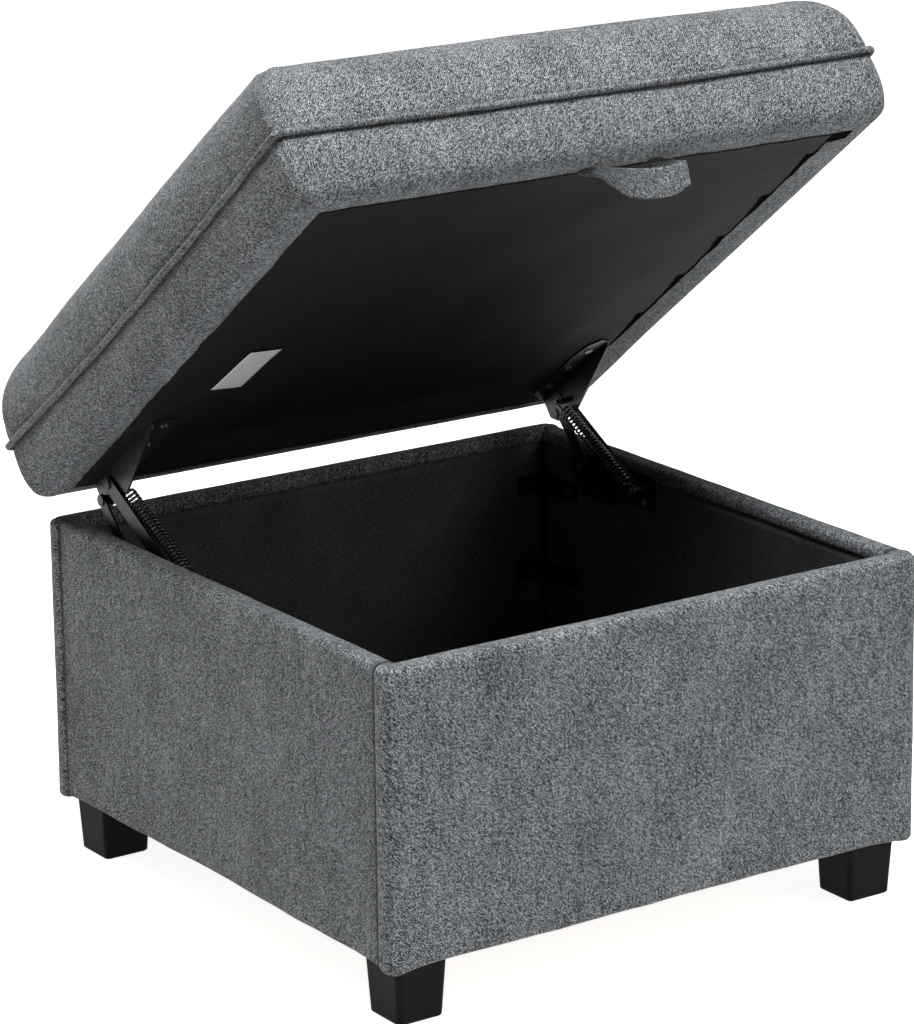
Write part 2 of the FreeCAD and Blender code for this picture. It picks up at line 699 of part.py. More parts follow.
def hinge(name, side):
    """One hinge, as its pieces in the box's frame and its pieces in the lid's frame."""
    plate_outline = [(f"back_y - plate_{fore}_fore", f"rim_z - plate_{down}_down") for fore, down in (
        ("front", "top"), ("front", "toe"), ("toe", "toe"), ("foot_front", "foot"),
        ("foot_rear", "foot"), ("rear", "heel"), ("rear", "top"))]
    plate = side_sheet(name + "_plate_sheet", side, "0", plate_outline, [], "plate_thick", "plate_round")
    main_top = "main_arm_off + main_arm_thick + run_gap"
    rear_top = "rear_arm_off + rear_arm_thick + run_gap"
    base_rivets = [
        rivet(name + "_main_base_rivet", side, ("main_y", "main_z"), (
            ("0", f"{main_top} + rivet_head_thick", "main_pin_radius"),
            ("plate_thick", "main_arm_off - run_gap", "boss_radius"),
            (main_top, f"{main_top} + rivet_head_thick", "rivet_head_radius"))),
        rivet(name + "_rear_base_rivet", side, ("rear_y", "rear_z"), (
            ("0", f"{rear_top} + rivet_head_thick", "rear_pin_radius"),
            ("plate_thick", "rear_arm_off - run_gap", "boss_radius"),
            (rear_top, f"{rear_top} + rivet_head_thick", "rivet_head_radius")))]
    near_side = "spring_off - spring_wire / 2 - hook_side_gap"
    far_side = "spring_off + spring_wire / 2 + hook_side_gap"
    base_pin = rivet(name + "_spring_base_pin", side, ("pull_y", "pull_z"), (
        ("0", f"{far_side} + rivet_head_thick", "spring_pin_radius"),
        (far_side, f"{far_side} + rivet_head_thick", "spring_pin_head_radius"),
        ("plate_thick", near_side, "spring_pin_head_radius")))
    screws = []
    for spot in ("a", "b", "c"):
        centre = (f"back_y - plate_screw_{spot}_fore", f"rim_z - plate_screw_{spot}_down")
        face = signed(side, "inner_x - plate_thick")
        screws.append(screw(f"{name}_plate_screw_{spot}", "x", face, side, centre, "wood_screw_radius",
                            "wood_screw_grip", "wood_screw_head_radius", "wood_screw_head_thick"))
    web_outline = [
        ("-web_rear_along", "0"), ("-web_front_along", "0"),
        ("-web_nose_along", "-web_nose_below"), ("-web_belly_along", "-web_belly_below"),
        ("-web_heel_along", "-web_heel_below"), ("-web_rear_along", "-web_back_below")]
    web = side_sheet(name + "_web_sheet", side, "web_off", web_outline, [], "web_thick", None)
    web = rounded(name + "_web", web, size.web_round, lambda middle, direction: (
        abs(direction.x) > ALIGNED_SHARE and middle.z < -size.web_nose_below - size.web_round))
    flange_outline = [
        (signed(side, "inner_x - web_off"), "-flange_rear_along"),
        (signed(side, "inner_x - web_off"), "-web_front_along"),
        (signed(side, "inner_x - web_off - flange_taper"), "-flange_tip_along"),
        (signed(side, "inner_x - web_off - flange_wide + flange_taper / 2"), "-web_front_along"),
        (signed(side, "inner_x - web_off - flange_wide"), "-flange_screw_a_along + flange_taper"),
        (signed(side, "inner_x - web_off - flange_wide"), "-flange_heel_along"),
        (signed(side, "inner_x - web_off - flange_taper"), "-flange_rear_along")]
    if side < 0:
        flange_outline.reverse()
    flange = padded_outline(name + "_flange", "XY_Plane", flange_outline, [], "flange_thick",
                            back=True)
    bracket = join(name + "_bracket_blank", [web, flange])
    web_inner = "web_off + web_thick"
    main_under, rear_under = "main_arm_off - run_gap", "rear_arm_off - run_gap"
    inner_head = (web_inner, f"{web_inner} + rivet_head_thick", "rivet_head_radius - run_gap")
    lid_rivets = [
        rivet(name + "_main_lid_rivet", side, ("-main_pin_along", "-main_pin_below"), (
            (f"{main_under} - rivet_head_thick", f"{web_inner} + rivet_head_thick", "main_pin_radius"),
            (f"{main_under} - rivet_head_thick", main_under, "rivet_head_radius"),
            inner_head)),
        rivet(name + "_rear_lid_rivet", side, ("-rear_pin_along", "-rear_pin_below"), (
            (f"{rear_under} - rivet_head_thick", f"{web_inner} + rivet_head_thick", "rear_pin_radius"),
            (f"{rear_under} - rivet_head_thick", rear_under, "rivet_head_radius"),
            (rear_top, "web_off", "rear_pin_radius + rear_eye_play"),
            inner_head))]
    lid_pin = rivet(name + "_spring_lid_pin", side, ("-spring_pin_along", "-spring_pin_below"), (
        ("web_off", f"{far_side} + rivet_head_thick", "spring_pin_radius"),
        (far_side, f"{far_side} + rivet_head_thick", "spring_pin_head_radius"),
        (web_inner, near_side, "spring_pin_head_radius")))
    lid_screws = []
    for spot in ("a", "b", "c"):
        centre = (signed(side, "inner_x - flange_screw_off"), f"-flange_screw_{spot}_along")
        lid_screws.append(screw(f"{name}_flange_screw_{spot}", "z", "-flange_thick", 1, centre,
                                "wood_screw_radius", "wood_screw_grip", "wood_screw_head_radius",
                                "wood_screw_head_thick"))
    return SimpleNamespace(
        plate=plate, base_rivets=base_rivets, base_pin=base_pin, screws=screws,
        bracket=bracket, lid_rivets=lid_rivets, lid_pin=lid_pin, lid_screws=lid_screws)


# Springs: one unbroken wire each, with a hook at both ends


def arc_edge(start, tangent, end):
    """The arc that leaves start along tangent and reaches end."""
    chord = end - start
    across = chord - tangent * chord.dot(tangent)
    across.normalize()
    radius = chord.dot(chord) / (2 * chord.dot(across))
    centre = start + across * radius
    middle = (start - centre) + (end - centre)
    middle.normalize()
    return Part.Arc(start, centre + middle * radius, end).toShape()


def biarc_edges(start, tangent, end, end_tangent):
    """Two arcs that join start to end and keep both tangents."""
    chord = end - start
    both = tangent + end_tangent
    turn = 1 - tangent.dot(end_tangent)
    ahead = chord.dot(both)
    reach = (math.sqrt(ahead * ahead + 2 * turn * chord.dot(chord)) - ahead) / (2 * turn)
    joint = (start + tangent * reach + end - end_tangent * reach) / 2
    first = arc_edge(start, tangent, joint)
    second = arc_edge(end, end_tangent * -1, joint)
    return [first, Part.Arc(joint, second.valueAt((second.FirstParameter + second.LastParameter) / 2),
                            end).toShape()]


def spring_wire_edges(length):
    """The spring's centre line along +X, from the pin at the origin to the one length away."""
    radius, hook = size.spring_radius, size.hook_radius
    lead = hook + size.spring_neck + size.spring_step
    pitch = (length - 2 * lead) / SPRING_TURNS

    def helix_point(angle):
        return Vector(lead + pitch * angle / (2 * math.pi),
                      radius * math.sin(angle), radius * math.cos(angle))

    def helix_tangent(angle):
        slope = Vector(pitch / (2 * math.pi), radius * math.cos(angle), -radius * math.sin(angle))
        return slope.normalize()

    step = length - lead + size.spring_step
    stops = [
        (Vector(length - lead, 0, radius), helix_tangent(0)),
        (Vector(step, 0, 0), Vector(0, -1, 0)),
        (Vector(step + hook, -hook, 0), Vector(1, 0, 0)),
        (Vector(length, -hook, 0), Vector(1, 0, 0)),
        (Vector(length + hook, 0, 0), Vector(0, 1, 0)),
        (Vector(length, hook, 0), Vector(-1, 0, 0)),
    ]
    angle = math.radians(size.hook_wrap_angle)
    tip = Vector(length - hook * math.sin(angle), hook * math.cos(angle), 0)
    tip_tangent = Vector(-math.cos(angle), -math.sin(angle), 0)
    stops.append((tip, tip_tangent))
    stops.append((tip + tip_tangent * size.hook_tail, tip_tangent))

    def hook_edges(turned):
        edges = []
        for (start, tangent), (end, end_tangent) in zip(stops, stops[1:]):
            if turned:
                start, end = [Vector(length - point.x, -point.y, point.z) for point in (start, end)]
                tangent, end_tangent = [Vector(way.x, way.y, -way.z) for way in (tangent, end_tangent)]
                start, end, tangent, end_tangent = end, start, end_tangent, tangent
            if tangent.dot(end_tangent) > ALIGNED_SHARE:
                edges.append([Part.LineSegment(start, end).toShape()])
            else:
                edges.append(biarc_edges(start, tangent, end, end_tangent))
        if turned:
            edges.reverse()
        return [edge for pair in edges for edge in pair]

    coil = []
    quarter = math.pi / 2
    for index in range(SPRING_TURNS * 4):
        start, end = index * quarter, (index + 1) * quarter
        coil += biarc_edges(helix_point(start), helix_tangent(start),
                            helix_point(end), helix_tangent(end))
    return hook_edges(True) + coil + hook_edges(False)


def least_gap(wire):
    """The least gap between stretches of a wound wire, measured on points along it."""
    step = size.spring_wire / 2
    points = wire.discretize(Distance=step)
    turn = 2 * math.pi * size.spring_radius / step
    apart = int(GAP_SKIP_SHARE * turn)
    window = int(GAP_LOOK_TURNS * turn)
    best = min(points[index].distanceToPoint(points[other])
               for index in range(len(points))
               for other in range(index + apart, min(index + window, len(points))))
    return best - size.spring_wire


def spring(length):
    wire = Part.Wire(spring_wire_edges(length))
    print("spring: length", round(wire.Length, 1), "least gap to itself", round(least_gap(wire), 2))
    first = wire.OrderedEdges[0]
    start, along = first.valueAt(first.FirstParameter), first.tangentAt(first.FirstParameter)
    ring = Part.Wire(Part.Circle(start, along, size.spring_wire / 2).toShape())
    return wire.makePipeShell([ring], True, False)


# Cushioned lid, in its own frame: +Y runs backwards from the rear reference edge, +Z is up


def cushion(inset):
    centre = (0, -lid.centre_along)
    rings = [rounded_rectangle(centre, half_x, half_y, corner, up)
             for up, half_x, half_y, corner in cushion_rows(inset)]
    return Part.makeLoft(rings, True, True)


def cushion_at(height):
    """Half sizes and corner radius of the cushion at a height."""
    rows = cushion_rows(0)
    for low, high in zip(rows, rows[1:]):
        if low[0] <= height <= high[0]:
            share = (height - low[0]) / (high[0] - low[0])
            return [start + share * (end - start) for start, end in zip(low[1:], high[1:])]
    return rows[-1][1:]


def welt():
    """The piping that covers the seam between the two fabrics."""
    half_x, half_y, corner = [reach + size.welt_stand for reach in cushion_at(size.welt_up)]
    path = rounded_rectangle((0, -lid.centre_along), half_x, half_y, corner, size.welt_up)
    start = path.Edges[1].firstVertex().Point
    along = path.Edges[1].tangentAt(path.Edges[1].FirstParameter)
    path = Part.Wire(path.Edges[1:] + path.Edges[:1])
    ring = Part.Wire(Part.Circle(start, along, size.welt_radius).toShape())
    return path.makePipeShell([ring], True, False)


def strap():
    """The pull loop: a fabric strap on edge, out from the lid's hem, round a bend and back."""
    front_line = -lid.centre_along - lid.half_y
    near_line, far_line = front_line + size.loop_near_in, front_line + size.loop_far_in
    middle = (near_line + far_line) / 2
    top = size.dust_cover_thick
    points = [Vector(size.loop_left_x, near_line, top), Vector(size.loop_bend_x, far_line, top),
              Vector(size.loop_end_x, near_line, top)]
    rise = Vector((points[0].x + points[1].x) / 2, far_line + (middle - far_line) / 2, top)
    tip = Vector(size.loop_tip_x, middle, top)
    path = Part.Wire([Part.Arc(points[0], rise, points[1]).toShape(),
                      Part.Arc(points[1], tip, points[2]).toShape()])
    band = path.makeOffset2D(size.loop_thick / 2, 0, True, False)
    return band.extrude(Vector(0, 0, -size.loop_wide))


def lid_sheet(name, inset, low, thickness, radius):
    """A board or sheet about the lid's middle, in by inset from its outline, with round corners."""
    half_x, half_y = f"(lid_half_x - {inset})", f"(lid_half_y - {inset})"
    front, back = f"-lid_centre_along - {half_y}", f"-lid_centre_along + {half_y}"
    corners = [(f"-{half_x}", front), (half_x, front), (half_x, back), (f"-{half_x}", back)]
    body = padded_outline(name, "XY_Plane", corners, [], thickness, radius)
    return bind(body, {".Placement.Base.z": low})


def build_box(hinges):
    """The box: walls, floor, legs, angles and the hinges' fixed pieces."""
    angles, bolts = wall_angles()
    small_angles, small_screws = floor_angles()
    plate_screws = group("plate_screw_set", [item for h in hinges.values() for item in h.screws])
    for end_name, end in ENDS.items():
        board, cover, lining = end_wall(end_name, end)
        fixings = [bolts, small_screws]
        keep(f"{end_name}_panel", drill(f"{end_name}_panel_drilled", board, fixings))
        keep(f"{end_name}_cover", cover)
        keep(f"{end_name}_lining", drill(f"{end_name}_lining_drilled", lining, fixings))
    for side_name, side in SIDES.items():
        board, cover, lining = side_wall(side_name, side)
        fixings = [bolts, small_screws, plate_screws]
        keep(f"{side_name}_panel", drill(f"{side_name}_panel_drilled", board, fixings))
        keep(f"{side_name}_cover", drill(f"{side_name}_cover_drilled", cover, [plate_screws]))
        keep(f"{side_name}_lining", drill(f"{side_name}_lining_drilled", lining, fixings))
    floor = block("floor_sheet", ("-inner_x - lining_thick", "inner_x + lining_thick"),
                  ("-inner_y", "inner_y"), ("leg_height", "leg_height + floor_thick"), end=1)
    leg_bolts, nuts, seats = [], [], []
    for end_name, end in ENDS.items():
        for side_name, side in SIDES.items():
            drilled, bolt, nut, seat = leg(f"{end_name}_{side_name}_leg", side, end)
            keep(f"leg_{end_name}_{side_name}", drilled)
            leg_bolts.append(bolt)
            nuts.append(nut)
            seats.append(seat)
    keep("leg_bolts", group("leg_bolt_set", leg_bolts))
    keep("leg_tee_nuts", group("leg_nut_set", nuts))
    keep("floor_board", drill("floor_drilled", floor, [join("nut_seats", seats), small_screws]))
    mat = block("floor_mat", ("-inner_x", "inner_x"), ("-inner_y", "inner_y"),
                ("leg_height + floor_thick", "leg_height + floor_thick + floor_lining_thick"), end=1)
    keep("floor_lining", drill("floor_mat_drilled", mat, [small_screws]))
    keep("corner_angles", drill("corner_angles_drilled", angles, [bolts]))
    keep("corner_bolts", bolts)
    keep("floor_angles", drill("floor_angles_drilled", small_angles, [small_screws]))
    keep("floor_screws", small_screws)
    for side_name, h in hinges.items():
        plate = drill(f"{side_name}_plate_drilled", h.plate, [*h.base_rivets, h.base_pin, plate_screws])
        keep(f"{side_name}_hinge_plate", plate)
    keep("hinge_plate_screws", plate_screws)
    rivets = group("base_rivet_set", [item for h in hinges.values() for item in h.base_rivets])
    keep("hinge_base_rivets", rivets)
    keep("spring_base_pins", group("base_pin_set", [h.base_pin for h in hinges.values()]))


def drill(name, base, tools):
    """Cut a piece by the fasteners that pass through it."""
    for index, tool in enumerate(tools):
        base = cut(f"{name}_{index}", base, tool)
    return base


def build_arms():
    """The arms and springs, each laid between its pivots in the raised pose."""
    for side_name, side in SIDES.items():
        main, main_place = arm(
            side_name + "_main", side, "main_arm_length", "main_arm_wide", "main_arm_off",
            "main_arm_thick", "main_pin_radius", "main_pin_radius + pin_gap",
            fixed["main"], raised["main"])
        keep(f"{side_name}_main_arm", main, main_place)
        rear, rear_place = arm(
            side_name + "_rear", side, "rear_arm_length", "rear_arm_wide", "rear_arm_off",
            "rear_arm_thick", "rear_pin_radius", "rear_pin_radius + rear_eye_play",
            fixed["rear"], raised["rear"])
        keep(f"{side_name}_rear_arm", rear, rear_place)
        length = math.dist(fixed["spring"], raised["spring"])
        across = side * (place.inner_x - size.spring_off)
        keep(f"{side_name}_spring", made(side_name + "_coil", spring(length),
                                         side_frame(across, fixed["spring"], raised["spring"])))


def build_lid(hinges):
    """The lid: board, foam, fabrics, welt, loop and the hinges' lid pieces."""
    outer, inner = made("cushion_outside", cushion(0)), made("cushion_inside", cushion(size.cover_thick))
    piping = made("welt_ring", welt())
    skin = cut("cushion_skin", outer, inner)
    reach = ("-lid_half_x - overrun", "lid_half_x + overrun")
    deep = ("-lid_centre_along - lid_half_y - overrun", "-lid_centre_along + lid_half_y + overrun")
    above = block("above_welt", reach, deep, ("welt_up", "lid_height + crown + overrun"))
    below = block("below_welt", reach, deep, ("-overrun", "welt_up"))
    window = lid_sheet("hem_window", "hem_in", "-overrun", "overrun * 2", "board_round")
    top_cover = cut("top_cover_cut", common("top_skin", skin, above), piping)
    band = cut("band_cut", cut("band_open", common("band_skin", skin, below), window), piping)
    screws = group("flange_screw_set", [item for h in hinges.values() for item in h.lid_screws])
    board = lid_sheet("board_sheet", "board_in", "dust_cover_thick", "lid_board_thick", "board_round")
    board_cut = cut("board_cut", board, band)
    foam = cut("foam_cut", inner, board)
    dust = lid_sheet("dust_sheet", "dust_cover_in", "0", "dust_cover_thick", "board_round")
    tag = block("tag_sheet",
                ("tag_in - lid_half_x - tag_wide / 2", "tag_in - lid_half_x + tag_wide / 2"),
                ("-tag_along - tag_long / 2", "-tag_along + tag_long / 2"), ("-tag_thick", "0"))
    keep("lid_board", drill("board_drilled", board_cut, [screws]), LID_PLACE)
    keep("lid_foam", foam, LID_PLACE)
    keep("lid_top_cover", top_cover, LID_PLACE)
    keep("lid_side_band", as_lid_piece("band_placed", band), LID_PLACE)
    keep("lid_dust_cover", drill("dust_drilled", dust, [screws]), LID_PLACE)
    keep("lid_blank_tag", as_lid_piece("tag_placed", tag), LID_PLACE)
    keep("lid_pull_loop", made("loop_strap", strap()), LID_PLACE)
    for side_name, h in hinges.items():
        bracket = drill(f"{side_name}_bracket_drilled", h.bracket, [*h.lid_rivets, h.lid_pin, screws])
        keep(f"{side_name}_lid_bracket", bracket, LID_PLACE)
    keep("lid_bracket_screws", as_lid_piece("lid_screws_placed", screws), LID_PLACE)
    keep("lid_welt", as_lid_piece("welt_placed", piping), LID_PLACE)
    rivets = group("lid_rivet_set", [item for h in hinges.values() for item in h.lid_rivets])
    keep("hinge_lid_rivets", rivets, LID_PLACE)
    pins = group("lid_pin_set", [h.lid_pin for h in hinges.values()])
    keep("spring_lid_pins", pins, LID_PLACE)


def as_lid_piece(name, thing):
    """A copy that can be placed while the original still cuts its neighbours in the lid's frame."""
    return group(name, [thing])


def report_linkage():
    """Joint places, travels and ratios, which the object's record repeats."""
    for pin, (back, up) in fixed.items():
        print(pin, "base pivot y", round(front_y + back, 3), "z", round(size.leg_height + up, 3),
              "swing", round(math.degrees(swing[pin]), 3))
    for pin, (back, up) in raised.items():
        print(pin, "lid pivot y", round(front_y + back, 3), "z", round(size.leg_height + up, 3))
    relative = size.lid_tilt + math.degrees(swing["main"])
    print("lid turns", round(relative, 4), "against the main arm; per turn of the lid: main",
          round(-math.degrees(swing["main"]) / relative, 5), "rear",
          round(-math.degrees(swing["rear"]) / relative, 5), "spring",
          round(-math.degrees(swing["spring"]) / relative, 5))
    raised_length = math.dist(fixed["spring"], raised["spring"])
    shut_length = math.dist(fixed["spring"], shut["spring"])
    print("spring length raised", round(raised_length, 2), "shut", round(shut_length, 2))
    print("front of box at y", round(front_y, 3))


def check_and_write():
    """Stop on any failed object or empty shape, then write each node's file."""
    if doc.getObject("probe"):
        doc.removeObject("probe")
    doc.recompute()
    for thing in doc.Objects:
        if {"Invalid", "Error"} & set(thing.State):
            raise RuntimeError(f"{thing.Name}: {thing.State}")
    os.makedirs("parts", exist_ok=True)
    for thing in parts:
        if thing.Shape.isNull() or not thing.Shape.isValid() or not thing.Shape.Solids:
            raise RuntimeError(f"{thing.Label}: bad shape")
        thing.Shape.exportStep(f"parts/{thing.Label}.step")
        print(thing.Label, len(thing.Shape.Solids), round(thing.Shape.Volume / 1000, 2), "cm3")
    print(len(parts), "nodes")


hinges = {side_name: hinge(side_name, side) for side_name, side in SIDES.items()}
build_box(hinges)
build_arms()
build_lid(hinges)
report_linkage()
check_and_write()
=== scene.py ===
# Looks for a square upholstered storage ottoman whose cushioned lid is raised. Everything is in metres
# and in the part's own frame: +X is the object's right, +Y its back and +Z up.

import json
import math

import bpy
import numpy as np
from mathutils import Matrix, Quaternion, Vector, noise


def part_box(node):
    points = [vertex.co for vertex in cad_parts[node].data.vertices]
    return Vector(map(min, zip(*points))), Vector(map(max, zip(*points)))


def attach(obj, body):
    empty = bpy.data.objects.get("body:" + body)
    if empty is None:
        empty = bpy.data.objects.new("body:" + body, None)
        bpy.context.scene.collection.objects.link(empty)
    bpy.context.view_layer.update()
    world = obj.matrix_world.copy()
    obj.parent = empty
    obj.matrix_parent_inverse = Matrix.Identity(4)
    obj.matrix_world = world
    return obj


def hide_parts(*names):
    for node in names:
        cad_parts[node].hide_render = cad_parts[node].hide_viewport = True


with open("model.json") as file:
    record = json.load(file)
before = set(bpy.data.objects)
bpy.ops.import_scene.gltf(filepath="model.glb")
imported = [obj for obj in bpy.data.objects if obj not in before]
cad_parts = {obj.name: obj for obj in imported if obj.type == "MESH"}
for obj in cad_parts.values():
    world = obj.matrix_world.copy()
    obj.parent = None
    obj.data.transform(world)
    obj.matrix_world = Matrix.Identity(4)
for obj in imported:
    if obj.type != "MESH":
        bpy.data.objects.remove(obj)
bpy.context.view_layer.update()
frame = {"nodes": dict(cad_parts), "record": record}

# Sizes read from the frame
COVER_LOW, COVER_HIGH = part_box("front_cover")
RIM_Z = COVER_HIGH.z
BASE_Z = COVER_LOW.z
FRONT_Y = COVER_LOW.y
BACK_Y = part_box("back_cover")[1].y
HALF_WIDTH = COVER_HIGH.x
INNER_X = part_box("right_lining")[0].x
MIDDLE_Y = (FRONT_Y + BACK_Y) / 2
WALL = HALF_WIDTH - INNER_X
INNER_FRONT_Y = FRONT_Y + WALL
INNER_BACK_Y = BACK_Y - WALL
WRAP_DOWN = RIM_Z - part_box("front_lining")[1].z
FLOOR_TOP_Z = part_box("floor_lining")[1].z

FABRIC_THICK = 0.002

# The camera, fitted to the photograph
CAMERA_AZIMUTH = -34.304
CAMERA_ELEVATION = 16.219
CAMERA_ROLL = -0.633
CAMERA_PLACE = (-2.1523, FRONT_Y - 2.8452, 1.4461)
CAMERA_LENS = 154.55
SENSOR = 36.0

# The lid's own frame: x, fore along the lid from its centre, and up out of its underside


def lid_axes():
    """The lid's centre on its underside, its fore direction and its up direction."""
    mesh = frame["nodes"]["lid_dust_cover"].data
    faces = [p for p in mesh.polygons if p.normal.z < 0]
    largest = max(faces, key=lambda p: p.area)
    up = -largest.normal
    fore = Vector((1, 0, 0)).cross(up)
    points = [v.co for v in mesh.vertices]
    low = min(p.dot(up) for p in points)
    fores = [p.dot(fore) for p in points]
    return up * low + fore * (min(fores) + max(fores)) / 2, fore, up


LID_CENTRE, FORE, UP = lid_axes()
FORE_ROW, UP_ROW, CENTRE_ROW = np.array(FORE), np.array(UP), np.array(LID_CENTRE)


def lid_box(name):
    """A node's low and high corners in the lid's frame."""
    points = np.array([v.co for v in frame["nodes"][name].data.vertices]) - CENTRE_ROW
    placed = np.stack([points[:, 0], points @ FORE_ROW, points @ UP_ROW], axis=1)
    return placed.min(axis=0), placed.max(axis=0)


LID_HALF_X, LID_HALF_F, _ = lid_box("lid_foam")[1] + FABRIC_THICK


def from_lid(points):
    """Points of the lid's frame, as rows of x, fore and up, in the part's frame."""
    points = np.asarray(points, float)
    flat = points.reshape(-1, 3)
    moved = CENTRE_ROW + flat[:, 1:2] * FORE_ROW + flat[:, 2:3] * UP_ROW
    moved[:, 0] += flat[:, 0]
    return moved.reshape(points.shape)


# Noise and curves

SEED_SHIFT = (7.31, 3.77, 1.93)
CURVE_FINENESS = 8
TINY = 1e-9


def roughness(points, size, seed):
    """Smooth noise from -1 to 1 at rows of points, with features about a size across."""
    shift = Vector([seed * part for part in SEED_SHIFT])
    flat = np.asarray(points, float).reshape(-1, 3)
    values = [noise.noise(Vector(p) / size + shift) for p in flat]
    return np.array(values).reshape(np.shape(points)[:-1])


def swells(points, sizes, seed):
    """Layers of smooth noise, given as feature sizes and heights, added up."""
    return sum(roughness(points, size, seed + k) * height for k, (size, height) in enumerate(sizes))


def along(points):
    """Length along rows of points."""
    return np.concatenate([[0], np.cumsum(np.linalg.norm(np.diff(points, axis=0), axis=1))])


def resampled(rows, length, count):
    """Rows at even steps of a length that is known for each, and those steps."""
    wanted = np.linspace(0, length[-1], count)
    return np.stack([np.interp(wanted, length, column) for column in rows.T], axis=1), wanted


def smooth_curve(points, count):
    """A smooth curve through rows of points, at even steps of its length."""
    points = np.asarray(points, float)
    at = along(points)
    slopes = np.gradient(points, at, axis=0)
    fine = np.linspace(0, at[-1], count * CURVE_FINENESS)
    index = np.clip(np.searchsorted(at, fine, side="right") - 1, 0, len(at) - 2)
    span = (at[index + 1] - at[index])[:, None]
    t = (fine - at[index])[:, None] / span
    curve = ((1 + 2 * t) * (1 - t) ** 2 * points[index] + t * (1 - t) ** 2 * span * slopes[index]
             + t * t * (3 - 2 * t) * points[index + 1] + t * t * (t - 1) * span * slopes[index + 1])
    return resampled(curve, along(curve), count)[0]


def hump(distance, width):
    """1 at no distance, falling smoothly to 0 over about twice a width."""
    return np.exp(-(distance / width) ** 2)


# Meshes


def mesh_piece(name, points, faces, uvs=None, shade=None):
    """A smooth mesh object. uvs has a row for each face corner, in metres of cloth."""
    mesh = bpy.data.meshes.new(name)
    mesh.from_pydata(np.asarray(points, float).reshape(-1, 3).tolist(), [], faces)
    mesh.update()
    mesh.shade_smooth()
    if uvs is not None:
        layer = mesh.uv_layers.new(name="weave")
        layer.data.foreach_set("uv", np.asarray(uvs, np.float32).ravel())
    if shade is not None:
        attribute = mesh.attributes.new("shade", "FLOAT", "POINT")
        attribute.data.foreach_set("value", np.asarray(shade, np.float32).ravel())
    piece = bpy.data.objects.new(name, mesh)
    bpy.context.scene.collection.objects.link(piece)
    return piece


def grid_faces(rows, columns, closed=False, flipped=False):
    """Quads of a grid of vertices, its columns wrapping round when closed."""
    faces = []
    for row in range(rows - 1):
        for column in range(columns if closed else columns - 1):
            beside = (column + 1) % columns
            face = (row * columns + column, row * columns + beside,
                    (row + 1) * columns + beside, (row + 1) * columns + column)
            faces.append(face[::-1] if flipped else face)
    return faces


def grid_normals(points):
    """Unit normals of a grid of points, by differences along its rows and columns."""
    normals = np.cross(np.gradient(points, axis=1), np.gradient(points, axis=0))
    return normals / np.maximum(np.linalg.norm(normals, axis=2, keepdims=True), TINY)


def grid_uvs(faces, u, v):
    """Cloth coordinates at the face corners of a grid, from u and v of its rows, columns or points."""
    rows = np.stack(np.broadcast_arrays(u, v), axis=2).reshape(-1, 2)
    return rows[np.array([index for face in faces for index in face])]


def thicken(piece, thickness):
    """Give a sheet its thickness, away from the side that it shows."""
    layer = piece.modifiers.new("thickness", "SOLIDIFY")
    layer.thickness = thickness
    layer.offset = -1
    return piece


def dress(piece, body, slot, material, *nodes):
    """Say what a piece rides on, its finish and the nodes that it stands for."""
    piece.data.materials.append(material)
    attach(piece, body)
    if nodes:
        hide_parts(*nodes)


# Materials


